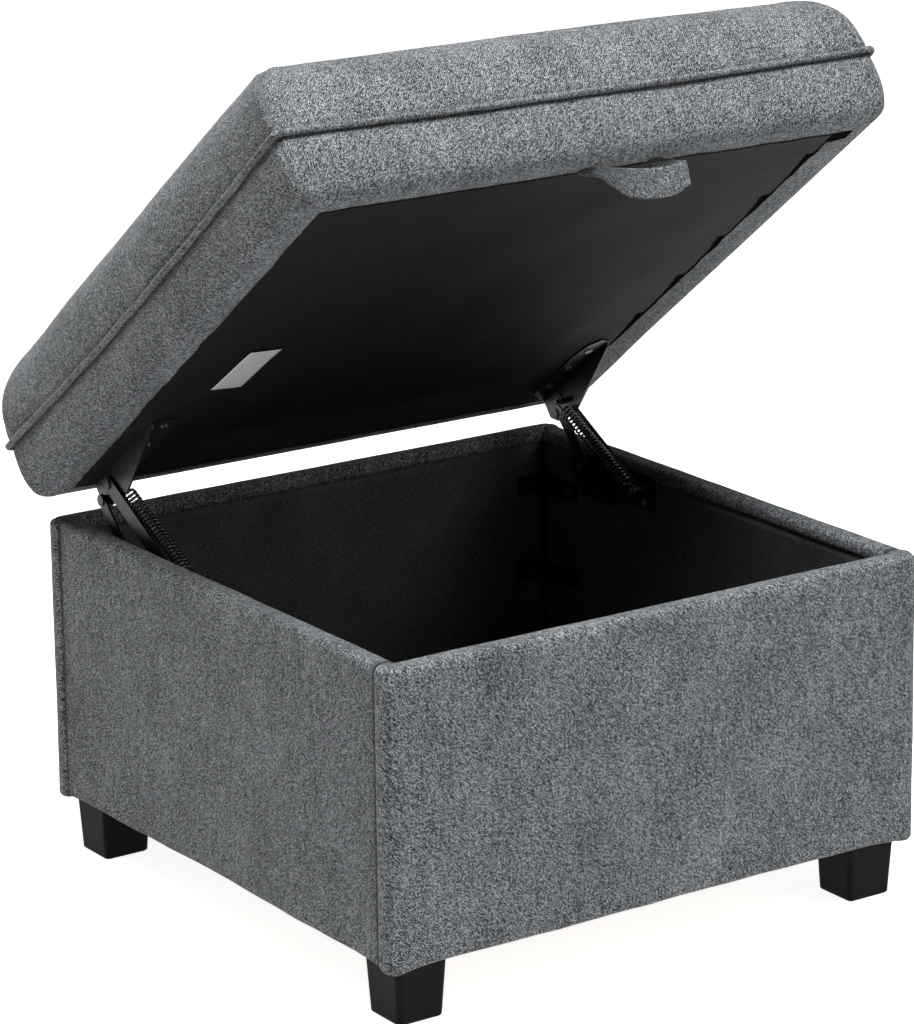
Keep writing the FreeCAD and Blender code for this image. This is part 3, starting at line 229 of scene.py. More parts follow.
class Nodes:
    """A material's or world's node tree, with short calls for the nodes that they share."""

    def __init__(self, owner, shader="Principled BSDF"):
        self.owner = owner
        owner.use_nodes = True
        self.tree = owner.node_tree
        self.shader = self.tree.nodes[shader]

    def node(self, kind, inputs=None, **settings):
        made = self.tree.nodes.new(kind)
        for key, value in settings.items():
            setattr(made, key, value)
        for key, value in (inputs or {}).items():
            self.set(made.inputs[key], value)
        return made

    def set(self, socket, value):
        if isinstance(value, bpy.types.NodeSocket):
            self.tree.links.new(value, socket)
        else:
            socket.default_value = value

    def surface(self, inputs):
        """Set the shader's own inputs."""
        for key, value in inputs.items():
            self.set(self.shader.inputs[key], value)

    def math(self, operation, *values):
        made = self.node("ShaderNodeMath", operation=operation)
        for index, value in enumerate(values):
            self.set(made.inputs[index], value)
        return made.outputs[0]

    def scaled(self, value, share, start=None):
        """A share of a value, on top of a start if there is one."""
        product = self.math("MULTIPLY", value, share)
        return product if start is None else self.math("ADD", start, product)

    def blend(self, *pairs, middle=None):
        """The sum of each value's share, each value measured from its middle if there is one."""
        total = None
        for value, share in pairs:
            apart = value if middle is None else self.math("SUBTRACT", value, middle)
            total = self.scaled(apart, share, total)
        return total

    def cloth(self):
        return self.node("ShaderNodeUVMap", uv_map="weave").outputs["UV"]

    def place(self):
        return self.node("ShaderNodeTexCoord").outputs["Object"]

    def stretched(self, vector, turn, sizes):
        """Coordinates turned about Z by degrees, then divided by a size along each axis."""
        turned = self.node("ShaderNodeVectorRotate", {"Vector": vector, "Angle": math.radians(turn)},
                           rotation_type="Z_AXIS")
        scaled = self.node("ShaderNodeVectorMath", {0: turned.outputs[0]}, operation="MULTIPLY")
        scaled.inputs[1].default_value = [1 / size for size in sizes]
        return scaled.outputs[0]

    def noise(self, vector, turn, sizes, detail=2.0, rough=0.5):
        """Soft noise with features of a size along each axis."""
        made = self.node("ShaderNodeTexNoise", {"Vector": self.stretched(vector, turn, sizes),
                                                "Scale": 1.0, "Detail": detail, "Roughness": rough})
        return made.outputs["Fac"]

    def flecks(self, vector, turn, sizes):
        """A value for each irregular cell of about a size along each axis."""
        made = self.node("ShaderNodeTexVoronoi", {"Vector": self.stretched(vector, turn, sizes),
                                                  "Scale": 1.0})
        apart = self.node("ShaderNodeSeparateColor", {"Color": made.outputs["Color"]})
        return apart.outputs["Red"]

    def ramp(self, value, *stops):
        made = self.node("ShaderNodeValToRGB", {"Fac": value})
        points = made.color_ramp.elements
        while len(points) < len(stops):
            points.new(0.5)
        for point, (at, colour) in zip(points, stops):
            point.position = at
            point.color = (*colour, 1)
        return made.outputs["Color"]

    def darkened(self, colour, shadow):
        """Set the base colour: a colour, mixed with a shadow's where a mesh's shade says so."""
        shade = self.node("ShaderNodeAttribute", attribute_name="shade").outputs["Fac"]
        mixed = self.node("ShaderNodeMix", data_type="RGBA")
        self.set(mixed.inputs[0], shade)
        self.set(mixed.inputs[6], colour)
        mixed.inputs[7].default_value = (*shadow, 1)
        self.surface({"Base Color": mixed.outputs[2]})

    def bump(self, height, distance, strength):
        made = self.node("ShaderNodeBump", {"Height": height, "Distance": distance,
                                            "Strength": strength})
        self.surface({"Normal": made.outputs["Normal"]})


# A wave texture repeats every 2 pi / 20 units at scale 1
TWILL_SCALE = 0.3142


def upholstery(name):
    """Grey salt-and-pepper twill: dark and light yarn ends in short diagonal runs, softly blotched."""
    n = Nodes(bpy.data.materials.new(name))
    cloth = n.cloth()
    yarn = n.flecks(cloth, 42, (0.0012, 0.0005, 0.0007))
    grain = n.flecks(cloth, -15, (0.0005, 0.0005, 0.0005))
    wave = n.stretched(cloth, -42, (0.0017, 0.05, 0.05))
    twill = n.node("ShaderNodeTexWave", {"Vector": wave, "Scale": TWILL_SCALE, "Distortion": 1.2,
                                         "Detail": 1.0, "Detail Scale": 6.0}).outputs["Fac"]
    blotch = n.noise(cloth, 20, (0.07, 0.13, 0.09), detail=3.0, rough=0.6)
    slub = n.noise(cloth, 0, (0.011, 0.055, 0.02))
    streak = n.noise(cloth, 0, (0.0034, 0.045, 0.01))
    sharp = n.blend((yarn, 0.60), (grain, 0.29), (twill, 0.11))
    soft = n.blend((blotch, 0.23), (slub, 0.12), (streak, 0.14), middle=0.5)
    colour = n.ramp(n.math("ADD", sharp, soft),
                    (0.21, (0.0075, 0.0087, 0.0098)), (0.38, (0.032, 0.037, 0.041)),
                    (0.50, (0.100, 0.110, 0.118)), (0.62, (0.251, 0.268, 0.282)),
                    (0.79, (0.571, 0.592, 0.611)))
    n.darkened(colour, shadow=(0.010, 0.011, 0.012))
    n.surface({"Roughness": 0.92, "Specular IOR Level": 0.25, "Sheen Weight": 0.25,
               "Sheen Roughness": 0.45, "Sheen Tint": (0.80, 0.84, 0.88, 1)})
    n.bump(n.math("ADD", sharp, n.scaled(slub, 0.5)), distance=0.0009, strength=0.5)
    return n.owner


def black_cloth(name, low, high, weave, specular):
    """Black lining or dust-cover cloth with a faint weave and paler rubbed patches."""
    n = Nodes(bpy.data.materials.new(name))
    cloth = n.cloth()
    thread = (weave, weave * 3.5, weave)
    across = n.noise(cloth, 0, thread, detail=1.0)
    lengthways = n.noise(cloth, 90, thread, detail=1.0)
    patches = n.noise(cloth, 30, (0.06, 0.11, 0.08), detail=3.0, rough=0.6)
    threads = n.blend((across, 0.5), (lengthways, 0.5))
    value = n.math("ADD", threads, n.blend((patches, 0.35), middle=0.5))
    n.darkened(n.ramp(value, (0.36, low), (0.64, high)), shadow=(0.0015, 0.0015, 0.0016))
    n.surface({"Roughness": 0.72, "Specular IOR Level": specular})
    n.bump(threads, distance=0.0005, strength=0.5)
    return n.owner


def white_cloth(name):
    """Smooth white label tape with a fine weave."""
    n = Nodes(bpy.data.materials.new(name))
    cloth = n.cloth()
    weave = n.noise(cloth, 0, (0.0006, 0.0016, 0.001), detail=1.0)
    patches = n.noise(cloth, 0, (0.02, 0.03, 0.02))
    colour = n.ramp(n.blend((weave, 0.5), (patches, 0.5)),
                    (0.3, (0.82, 0.82, 0.81)), (0.7, (0.92, 0.92, 0.91)))
    n.surface({"Base Color": colour, "Roughness": 0.45})
    n.bump(weave, distance=0.0002, strength=0.5)
    return n.owner


def black_plastic(name):
    """Satin moulded plastic with a fine grain and slight rubbing."""
    n = Nodes(bpy.data.materials.new(name))
    grain = n.noise(n.place(), 0, (0.0009, 0.0009, 0.0009))
    rub = n.noise(n.place(), 0, (0.012, 0.012, 0.03), detail=4.0, rough=0.65)
    colour = n.ramp(rub, (0.35, (0.0045, 0.0045, 0.005)), (0.7, (0.009, 0.009, 0.0095)))
    n.surface({"Base Color": colour, "Roughness": n.scaled(rub, 0.24, start=0.42),
               "Specular IOR Level": 0.075})
    n.bump(grain, distance=0.0003, strength=0.35)
    return n.owner


def steel(name, low, high, metallic, rough):
    """Steel with a fine orange peel, and with rubbed streaks along its length."""
    n = Nodes(bpy.data.materials.new(name))
    streak = n.noise(n.place(), 0, (0.002, 0.012, 0.012), detail=3.0, rough=0.6)
    peel = n.noise(n.place(), 0, (0.0014, 0.0014, 0.0014))
    n.surface({"Base Color": n.ramp(streak, (0.35, low), (0.68, high)), "Metallic": metallic,
               "Roughness": n.scaled(streak, 0.12, start=rough)})
    n.bump(peel, distance=0.0003, strength=0.3)
    return n.owner


def board(name):
    """Plain particle board."""
    n = Nodes(bpy.data.materials.new(name))
    chips = n.noise(n.place(), 25, (0.004, 0.0015, 0.003), detail=3.0, rough=0.7)
    colour = n.ramp(chips, (0.3, (0.25, 0.16, 0.08)), (0.5, (0.48, 0.34, 0.20)),
                    (0.7, (0.66, 0.52, 0.34)))
    n.surface({"Base Color": colour, "Roughness": 0.8})
    n.bump(chips, distance=0.0005, strength=0.5)
    return n.owner


CLOTH = upholstery("upholstery_cloth")
LINING = black_cloth("lining_cloth", low=(0.050, 0.053, 0.056), high=(0.134, 0.141, 0.150),
                     weave=0.0011, specular=0.2)
DUST = black_cloth("dust_cover_cloth", low=(0.0045, 0.0048, 0.0050), high=(0.0145, 0.0149, 0.0153),
                   weave=0.0008, specular=0.115)
# A darker copy of the dust-cover cloth with no gloss: painted shadow for the pleated fold along its
# right edge
DUST_FOLD_SHADOW_CLOTH = black_cloth("dust_cover_fold_painted_shadow", low=(0.004, 0.0042, 0.0044),
                        high=(0.010, 0.0102, 0.0106), weave=0.0008, specular=0.0)
TAG = white_cloth("blank_tag_cloth")
SPRING_STEEL = steel("spring_steel", (0.09, 0.09, 0.095), (0.24, 0.24, 0.25), 0.9, rough=0.14)
RIVET_STEEL = steel("rivet_steel", (0.03, 0.03, 0.032), (0.08, 0.08, 0.085), 0.6, rough=0.3)
FINISH = {
    "upholstery": CLOTH, "foam": CLOTH, "black_lining": LINING, "white_tag": TAG,
    "board": board("particle_board"),
    "leg_plastic": black_plastic("leg_plastic"),
    "black_steel": steel("black_steel", (0.010, 0.010, 0.011), (0.028, 0.028, 0.030), 0.35, rough=0.26),
    "bright_steel": steel("zinc_steel", (0.36, 0.36, 0.37), (0.62, 0.62, 0.63), 1.0, rough=0.18)}
SLOTS = {part["node"]: part["material_slot"] for part in frame["record"]["subparts"]}


def finish_nodes():
    """Give each node of the frame its finish."""
    for name, node in frame["nodes"].items():
        material = FINISH[SLOTS[name]]
        if name.endswith("_spring"):
            material = SPRING_STEEL
        if name.endswith(("_rivets", "_pins")):
            material = RIVET_STEEL
        node.data.materials.clear()
        node.data.materials.append(material)


# Box covers

COVER_CLOTH = 0.0016
RIM_ROUND = 0.0055
RIM_CLEAR = 0.0005
RIM_TOP = RIM_Z - COVER_CLOTH - RIM_CLEAR
RIM_EASE = 0.001
FOOT_ROUND = 0.004
TUCK_UNDER = 0.012
FRONT_RETURN = 0.0165
BACK_RETURN = 0.015
CORNER_ROUND = 0.007

# A front or back cover's sewn end: how far it stands proud of the side, and how far from the end
FOLD = ((0.0002, 0.0), (0.0022, 0.0006), (0.00253, 0.003), (0.00198, 0.008), (0.0011, 0.013))
# A side cover runs on under those ends, lies a little deeper and turns inwards near its own ends
SIDE_UNDER = 0.006
SIDE_SUNK = 0.0006
SIDE_INNER_GAP = 0.0002
SIDE_TURN_REACH = 0.020
FOLD_ZONE = 0.024

# Steps between points: plain wall, tucked edges, rim, returns and folds
STEP = 0.006
TUCK_STEP = 0.003
RIM_STEP = 0.0025
RETURN_STEP = 0.004
FOLD_STEP = 0.0015

# Swells of the cloth: feature size and height, on the walls and along the rim and the lower edge
COVER_SWELLS = ((0.14, 0.0011), (0.05, 0.0005), (0.018, 0.00016))
RIM_SWELLS = ((0.033, 0.0007),)
RIM_SWELL_REACH = 0.008
FOOT_SWELLS = ((0.04, 0.0009),)
FOOT_SWELL_REACH = 0.012
FOOT_FADE_SHARE = 0.8
# What is left of the swells at a cover's ends and inside the box, and what the rim's top takes off
END_EASE = 0.02
END_SHARE = 0.15
INSIDE_FROM_SHARE = 0.97
INSIDE_SHARE = 0.2
RIM_TOP_SHARE = 0.55
RIM_TOP_REACH = 0.006

# The lower edge hangs at the corners: how far, how far along, up to what height and how deep in
CORNER_HANG = 0.0068
CORNER_HANG_REACH = 0.020
CORNER_HANG_TALL = 0.035
CORNER_HANG_DEEP = 0.009
CORNER_HANG_EASE = 0.005

# Shade beside the folds: how far in from each return, then share and width of its two parts
FRONT_SHADE_IN = 0.0045
BACK_SHADE_IN = 0.0012
FOLD_SHADES = ((0.80, 0.0026), (0.22, 0.009))
HEM_FROM_SHARE = 0.9
HEM_SHADE_SHARE = 0.5
HEM_SHADE_WIDE = 0.003


def arc_points(centre, radius, start, end, count):
    """Points of an arc from one angle to another, in degrees."""
    angles = np.radians(np.linspace(start, end, count))
    return [(centre[0] + radius * math.cos(a), centre[1] + radius * math.sin(a)) for a in angles]


def line_points(start, end, step=STEP):
    count = max(2, int(round(math.dist(start, end) / step)) + 1)
    return [tuple(p) for p in np.linspace(start, end, count)]


def joined(*runs):
    """Points of several runs, each starting where the one before ends."""
    points = list(runs[0])
    for run in runs[1:]:
        points += run[1:]
    return np.array(points)


def wall_profile():
    """The cover's section as depth in from the outer face and height, from inside to underneath."""
    rim, foot = RIM_ROUND, FOOT_ROUND
    return joined(
        line_points((WALL, RIM_Z - WRAP_DOWN), (WALL, RIM_TOP - rim), TUCK_STEP),
        arc_points((WALL - rim, RIM_TOP - rim), rim, 0, 90, 6),
        line_points((WALL - rim, RIM_TOP), (rim, RIM_TOP), RIM_STEP),
        arc_points((rim, RIM_TOP - rim), rim, 90, 180, 6),
        line_points((0, RIM_TOP - rim), (0, BASE_Z + foot)),
        arc_points((foot, BASE_Z + foot), foot, 180, 270, 5),
        line_points((foot, BASE_Z), (TUCK_UNDER, BASE_Z), TUCK_STEP))


def end_plan(sign, length):
    """Outer and inner lines of a front (-1) or back (1) cover seen from above, left to right."""
    face_y = FRONT_Y if sign < 0 else BACK_Y
    left = -HALF_WIDTH
    fold = [(left - proud, length - back) for proud, back in FOLD]
    half = joined(
        fold[:-1] + line_points(fold[-1], (left, CORNER_ROUND), RETURN_STEP),
        arc_points((left + CORNER_ROUND, CORNER_ROUND), CORNER_ROUND, 180, 270, 7),
        line_points((left + CORNER_ROUND, 0), (0, 0)))
    outer = np.vstack([half, half[-2::-1] * (-1, 1)])
    inner = np.stack([np.clip(outer[:, 0], -INNER_X, INNER_X), np.full(len(outer), WALL)], axis=1)
    for points in (outer, inner):
        points[:, 1] = face_y - sign * points[:, 1]
    return outer, inner


def side_plan(sign):
    """Outer and inner lines of a left (-1) or right (1) cover, between the returns."""
    start, end = FRONT_Y + FRONT_RETURN - SIDE_UNDER, BACK_Y - BACK_RETURN + SIDE_UNDER
    ys = joined(line_points((start, 0), (start + FOLD_ZONE, 0), FOLD_STEP),
                line_points((start + FOLD_ZONE, 0), (end - FOLD_ZONE, 0)),
                line_points((end - FOLD_ZONE, 0), (end, 0), FOLD_STEP))[:, 0]
    if sign > 0:
        ys = ys[::-1]
    turned_in = (hump(ys - start, SIDE_TURN_REACH) * (INNER_FRONT_Y - start)
                 + hump(ys - end, SIDE_TURN_REACH) * (INNER_BACK_Y - end))
    outer = np.stack([np.full(len(ys), sign * (HALF_WIDTH - SIDE_SUNK)), ys], axis=1)
    inner = np.stack([np.full(len(ys), sign * (INNER_X + SIDE_INNER_GAP)), ys + turned_in], axis=1)
    return outer, inner


def swept(profile, outer, inner):
    """A grid of points: the profile's rows swept along the plan's outer and inner lines."""
    share = (profile[:, 0] / WALL)[:, None, None]
    points = np.zeros((len(profile), len(outer), 3))
    points[..., :2] = outer * (1 - share) + inner * share
    points[..., 2] = profile[:, 1][:, None]
    return points


def cover_lift(points, share, lengths, seed):
    """How far the cloth stands off the wall, less at its ends, inside the box and on the rim."""
    lift = swells(points, COVER_SWELLS, seed)
    lift += hump(points[..., 2] - RIM_Z, RIM_SWELL_REACH) * swells(points, RIM_SWELLS, seed + 3)
    to_end = np.minimum(lengths, lengths[-1] - lengths)
    lift *= np.clip(to_end / END_EASE, END_SHARE, 1)
    lift = np.where(share[:, None] > INSIDE_FROM_SHARE, lift * INSIDE_SHARE, lift)
    return lift * (1 - RIM_TOP_SHARE * hump(points[..., 2] - RIM_TOP, RIM_TOP_REACH))


def corner_hang(points, depth):
    """How far the lower edge hangs towards the box's corners, on the outer face only."""
    from_corner = (HALF_WIDTH - np.abs(points[..., 0])
                   + np.minimum(points[..., 1] - FRONT_Y, BACK_Y - points[..., 1]))
    hang = CORNER_HANG * np.exp(-np.maximum(from_corner, 0) / CORNER_HANG_REACH)
    outside = np.clip((CORNER_HANG_DEEP - depth) / CORNER_HANG_EASE, 0, 1)[:, None]
    return hang * outside * np.clip(1 - (points[..., 2] - BASE_Z) / CORNER_HANG_TALL, 0, 1)


def eased_rim(heights):
    """Heights that near the rim's top smoothly and never pass it."""
    over = np.maximum(heights - (RIM_TOP - RIM_EASE), 0)
    return np.where(over > 0, RIM_TOP - RIM_EASE * np.exp(-over / RIM_EASE), heights)


def cover_shade(side, profile, points):
    """Dark at the hem inside the box and, on a side cover, beside the folds sewn over its ends."""
    inside = profile[:, 0] / WALL > HEM_FROM_SHARE
    shade = HEM_SHADE_SHARE * hump(profile[:, 1] - (RIM_Z - WRAP_DOWN), HEM_SHADE_WIDE) * inside
    shade = np.repeat(shade[:, None], points.shape[1], axis=1)
    if side in ("left", "right"):
        front = np.abs(points[..., 1] - (FRONT_Y + FRONT_RETURN) - FRONT_SHADE_IN)
        back = np.abs(points[..., 1] - (BACK_Y - BACK_RETURN) + BACK_SHADE_IN)
        beside = np.minimum(front, back)
        shade += sum(share * hump(beside, width) for share, width in FOLD_SHADES)
    return np.clip(shade, 0, 1)


def wall_cover(side, plan, seed):
    """A cover swept along its plan and wrapped from inside the rim to underneath the wall."""
    outer, inner = plan
    profile = wall_profile()
    share = profile[:, 0] / WALL
    points = swept(profile, outer, inner)
    lengths, depth = along(outer), along(profile)
    normals = grid_normals(points)
    middle = len(outer) // 2
    from_middle = outer[middle] - (0, MIDDLE_Y)
    outwards = np.sign(normals[len(profile) // 2, middle, :2] @ from_middle)
    points += outwards * normals * cover_lift(points, share, lengths, seed)[:, :, None]
    foot = hump(points[..., 2] - BASE_Z, FOOT_SWELL_REACH) * (1 - share[:, None] * FOOT_FADE_SHARE)
    points[..., 2] -= corner_hang(points, profile[:, 0])
    points[..., 2] += foot * swells(points, FOOT_SWELLS, seed + 5)
    points[..., 2] = eased_rim(points[..., 2])
    faces = grid_faces(*points.shape[:2], flipped=outwards > 0)
    uvs = grid_uvs(faces, lengths + seed, seed - depth[:, None])
    shade = cover_shade(side, profile, points)
    piece = mesh_piece(side + "_cover_cloth", points, faces, uvs, shade)
    dress(thicken(piece, COVER_CLOTH), "base", "upholstery", CLOTH, side + "_cover")


def build_covers():
    wall_cover("front", end_plan(-1, FRONT_RETURN), 1)
    wall_cover("back", end_plan(1, BACK_RETURN), 12)
    wall_cover("left", side_plan(-1), 23)
    wall_cover("right", side_plan(1), 34)


# Linings inside the box

LINING_CLOTH = 0.001
LINING_STEP = 0.009
LINING_SLACK = 0.0005
LINING_SWELLS = ((0.09, 0.0005), (0.03, 0.0002))
LINING_LEAST = 0.0001
LINING_EDGE = 0.02
LINING_UNDER_HEM = 0.0006
LINING_UNDER_FLOOR = 0.001
FLOOR_LINING_SUNK = 0.0006


def lining_sheet(side, corner, across, up, inwards, seed):
    """A black lining with slight pulls, from a corner, two edge vectors and its visible side."""
    corner, across, up, inwards = (np.array(v, float) for v in (corner, across, up, inwards))
    size = np.array([np.linalg.norm(across), np.linalg.norm(up)])
    columns, rows = (int(length / LINING_STEP) + 1 for length in size)
    u, v = np.meshgrid(np.linspace(0, 1, columns), np.linspace(0, 1, rows))
    points = corner + u[..., None] * across + v[..., None] * up
    slack = np.maximum(LINING_SLACK + swells(points, LINING_SWELLS, seed), LINING_LEAST)
    to_edge = np.minimum(u, 1 - u) * size[0]
    points += (slack * np.clip(to_edge / LINING_EDGE, 0, 1))[..., None] * inwards
    faces = grid_faces(rows, columns, flipped=np.cross(across, up) @ inwards < 0)
    uvs = grid_uvs(faces, u * size[0] + seed, v * size[1] + seed)
    piece = mesh_piece(side + "_lining_sheet", points, faces, uvs)
    dress(thicken(piece, LINING_CLOTH), "base", "black_lining", LINING, side + "_lining")


def build_linings():
    low = FLOOR_TOP_Z - LINING_UNDER_FLOOR
    wide, deep = (2 * INNER_X, 0, 0), (0, INNER_BACK_Y - INNER_FRONT_Y, 0)
    tall = (0, 0, RIM_Z - WRAP_DOWN + LINING_UNDER_HEM - low)
    for side, x, y, across, inwards, seed in (
            ("front", -INNER_X, INNER_FRONT_Y, wide, (0, 1, 0), 3),
            ("back", -INNER_X, INNER_BACK_Y, wide, (0, -1, 0), 5),
            ("left", -INNER_X, INNER_FRONT_Y, deep, (1, 0, 0), 7),
            ("right", INNER_X, INNER_FRONT_Y, deep, (-1, 0, 0), 9)):
        lining_sheet(side, (x, y, low), across, tall, inwards, seed)
    lining_sheet("floor", (-INNER_X, INNER_FRONT_Y, FLOOR_TOP_Z - FLOOR_LINING_SUNK),
                 wide, deep, (0, 0, 1), 11)


# Cushion

# Sections from the lower edge to the middle: height, how far it is drawn in, and the corner's radius
CUSHION_SECTIONS = (
    (0.0010, 0.0130, 0.005), (0.0050, 0.0068, 0.005), (0.0160, 0.0020, 0.007), (0.0310, 0.0000, 0.007),
    (0.0470, 0.0000, 0.006), (0.0600, 0.0000, 0.005), (0.0720, 0.0003, 0.006), (0.0919, 0.0020, 0.008),
    (0.1090, 0.0075, 0.008), (0.1225, 0.0170, 0.008), (0.1325, 0.0300, 0.010), (0.1385, 0.0470, 0.015),
    (0.1416, 0.0720, 0.030), (0.1443, 0.1130, 0.050), (0.1475, 0.1800, 0.055), (0.1490, 0.2500, 0.030),
    (0.1492, 0.2990, 0.000))
# Rings tucked underneath: height, how far drawn in, the corner's radius and the cloth since the last
TUCK_RINGS = ((0.0004, 0.024, 0.008, 0.007), (0.0008, 0.034, 0.010, 0.010),
              (0.0011, 0.046, 0.014, 0.012), (0.0011, 0.066, 0.016, 0.022))
SECTION_POINTS = 600
CELLS = 110
GRID_WIDE = 2 * CELLS + 1
UNDER_ROWS = 20

# The seam that carries the piping, how far it dips between the corners, and how far that is felt
WELT_UP = 0.060
WELT_DIP = 0.0065
WELT_FRONT_DIP = 0.0025
WELT_DIP_REACH = 0.035
# The top sinks towards the right end, above this height
SLUMP = 0.0032
SLUMP_FROM = 0.09
SLUMP_TALL = 0.05

# Feature size and height of the padding's swells, then the groove and the puckers along the seam
CUSHION_SWELLS = ((0.17, 0.0020), (0.06, 0.0008), (0.022, 0.00022))
SEAM_DEEP = 0.0024
SEAM_WIDE = 0.0055
PUCKERS = ((0.017, 0.0008),)
PUCKER_STRETCH = (1, 1, 0.35)
PUCKER_OFF_SEAM = 0.008
PUCKER_WIDE = 0.014
# The corner seams: groove, the roll beside it, and how they fade above the piping
DART_DEEP = 0.0016
DART_WIDE = 0.0035
DART_ROLL = 0.0006
DART_ROLL_OFF = 0.009
DART_ROLL_WIDE = 0.006
DART_EASE = 0.02
DART_TOP = 0.136
DART_FROM_SHARE = 0.3
DART_SHADE_SHARE = 0.32
DART_SHADE_WIDE = 0.0018
DART_ABOVE_SHARE = 0.7
# Underneath, past this much cloth from the seam, the cushion lies nearly flat
UNDER_REACH = 0.062
UNDER_SHARE = 0.15
# Shade beside the piping: share, distance below the seam and width
SEAM_SHADES = ((0.60, 0.0034, 0.0022), (0.25, -0.0036, 0.0016))


def cushion_curves():
    """The section above the welt, from the middle out, and the one below it, from the welt down."""
    rows = smooth_curve(CUSHION_SECTIONS, SECTION_POINTS)
    over = rows[rows[:, 0] >= WELT_UP][::-1]
    under = rows[rows[:, 0] < WELT_UP][::-1]
    return over, under


def ring_place(square, drawn_in, corner):
    """x and fore of ring points for rows on the unit square, and their runs along its sides."""
    a, b = square.T
    half_x, half_f = LID_HALF_X - drawn_in, LID_HALF_F - drawn_in * LID_HALF_F / CUSHION_SECTIONS[-1][1]
    corner = np.minimum(corner, np.minimum(half_x, half_f))
    ends = np.abs(b) >= np.abs(a)
    reach = np.maximum(np.maximum(np.abs(a), np.abs(b)), TINY)
    flat = np.where(ends, half_x, half_f) - corner
    run = np.where(ends, a, b) / reach * (flat + corner * math.pi / 4)
    over = np.maximum(np.abs(run) - flat, 0)
    angle = over / np.maximum(corner, TINY)
    side = np.sign(run) * (np.minimum(np.abs(run), flat) + corner * np.sin(angle))
    out = np.where(ends, half_f, half_x) - corner + corner * np.cos(angle)
    x = np.where(ends, side, np.sign(a) * out)
    fore = np.where(ends, np.sign(b) * out, side)
    return x, fore, run


def welt_dip(points):
    """How far the seam's piping, and the cushion beside it, hangs below its height at the corners."""
    x, fore, up = (points[..., k] for k in range(3))
    across, ahead = np.abs(x) / LID_HALF_X, fore / LID_HALF_F
    middle = np.minimum(across, np.abs(ahead))
    depth = np.where(ahead > across, WELT_FRONT_DIP, WELT_DIP)
    return depth * (1 - middle ** 2) * hump(up - WELT_UP, WELT_DIP_REACH)


def end_slump(points):
    """How far the top of the cushion sinks towards its right end."""
    to_right = np.clip(points[..., 0] / LID_HALF_X, 0, 1)
    return SLUMP * to_right * np.clip((points[..., 2] - SLUMP_FROM) / SLUMP_TALL, 0, 1)


def square_grid():
    """The cushion's plan as a grid of rows on the unit square: its share of x and of fore."""
    line = np.arange(-CELLS, CELLS + 1) / CELLS
    b, a = np.meshgrid(line, line, indexing="ij")
    return np.stack([a.ravel(), b.ravel()], axis=1)


def square_edge():
    """Index of each of the grid's rows on the square's edge, once round."""
    last = 2 * CELLS
    side = np.arange(last)
    down = side * GRID_WIDE
    end = last * GRID_WIDE
    return np.concatenate([side, down + last, end + last - side, end - down])


def cushion_rings():
    """Rows for the grid and each ring below it: place on the square, section, cloth from the middle."""
    over, under = cushion_curves()
    over, over_length = resampled(over, along(over[:, :2]), CELLS + 1)
    under, under_length = resampled(under, along(under[:, :2]), UNDER_ROWS)
    tuck = np.array(TUCK_RINGS)
    square = square_grid()
    ring = np.rint(np.abs(square).max(axis=1) * CELLS).astype(int)
    edge = square[square_edge()]
    lengths = over_length[-1] + np.append(under_length[1:], under_length[-1] + np.cumsum(tuck[:, 3]))
    blocks = [(square, over[ring], over_length[ring])]
    for row, length in zip(np.vstack([under[1:], tuck[:, :3]]), lengths):
        blocks.append((edge, np.tile(row, (len(edge), 1)), np.full(len(edge), length)))
    return [np.concatenate(parts) for parts in zip(*blocks)] + [over_length[-1]]


def cushion_faces():
    """Quads of the square's grid and of the rings below it, and one face that closes the underside."""
    faces = grid_faces(GRID_WIDE, GRID_WIDE)
    upper = square_edge()
    for ring in range(UNDER_ROWS - 1 + len(TUCK_RINGS)):
        lower = GRID_WIDE * GRID_WIDE + ring * len(upper) + np.arange(len(upper))
        faces += list(zip(np.roll(upper, -1), upper, lower, np.roll(lower, -1)))
        upper = lower
    return faces + [tuple(upper[::-1].tolist())]


def cushion_uvs(faces, side, square, reach):
    """Cloth coordinates at face corners: each face takes the side that its middle lies on."""
    flat = np.array([index for face in faces for index in face])
    counts = np.array([len(face) for face in faces])
    owner = np.repeat(np.arange(len(faces)), counts)
    middle = np.stack([np.bincount(owner, square[flat, k]) / counts for k in (0, 1)], axis=1)
    ends = (np.abs(middle[:, 1]) >= np.abs(middle[:, 0]))[owner]
    sign = np.sign(np.where(ends, middle[owner, 1], middle[owner, 0]))
    out = sign * reach[flat]
    run = np.sign(np.where(ends, square[flat, 0], square[flat, 1])) * np.abs(side[flat])
    return np.stack([np.where(ends, run, out), np.where(ends, out, run)], axis=1)


def vertex_normals(points, faces):
    mesh = bpy.data.meshes.new("normals")
    mesh.from_pydata(points.tolist(), [], faces)
    mesh.update()
    normals = np.zeros(len(points) * 3)
    mesh.vertices.foreach_get("normal", normals)
    bpy.data.meshes.remove(mesh)
    return normals.reshape(-1, 3)


def corner_darts(points, side, square, from_welt):
    """How far each point lies from a corner's seam along its ring, and how plainly the seam shows."""
    ratio = np.abs(square).min(axis=1) / np.maximum(np.abs(square).max(axis=1), TINY)
    half_run = np.abs(side) / np.maximum(ratio, TINY)
    from_corner = np.where(ratio > DART_FROM_SHARE, half_run * (1 - ratio), 1.0)
    above = np.clip(-from_welt / DART_EASE, 0, 1) * (points[:, 2] < DART_TOP)
    return from_corner, np.where(from_welt < 0, above, 1.0)


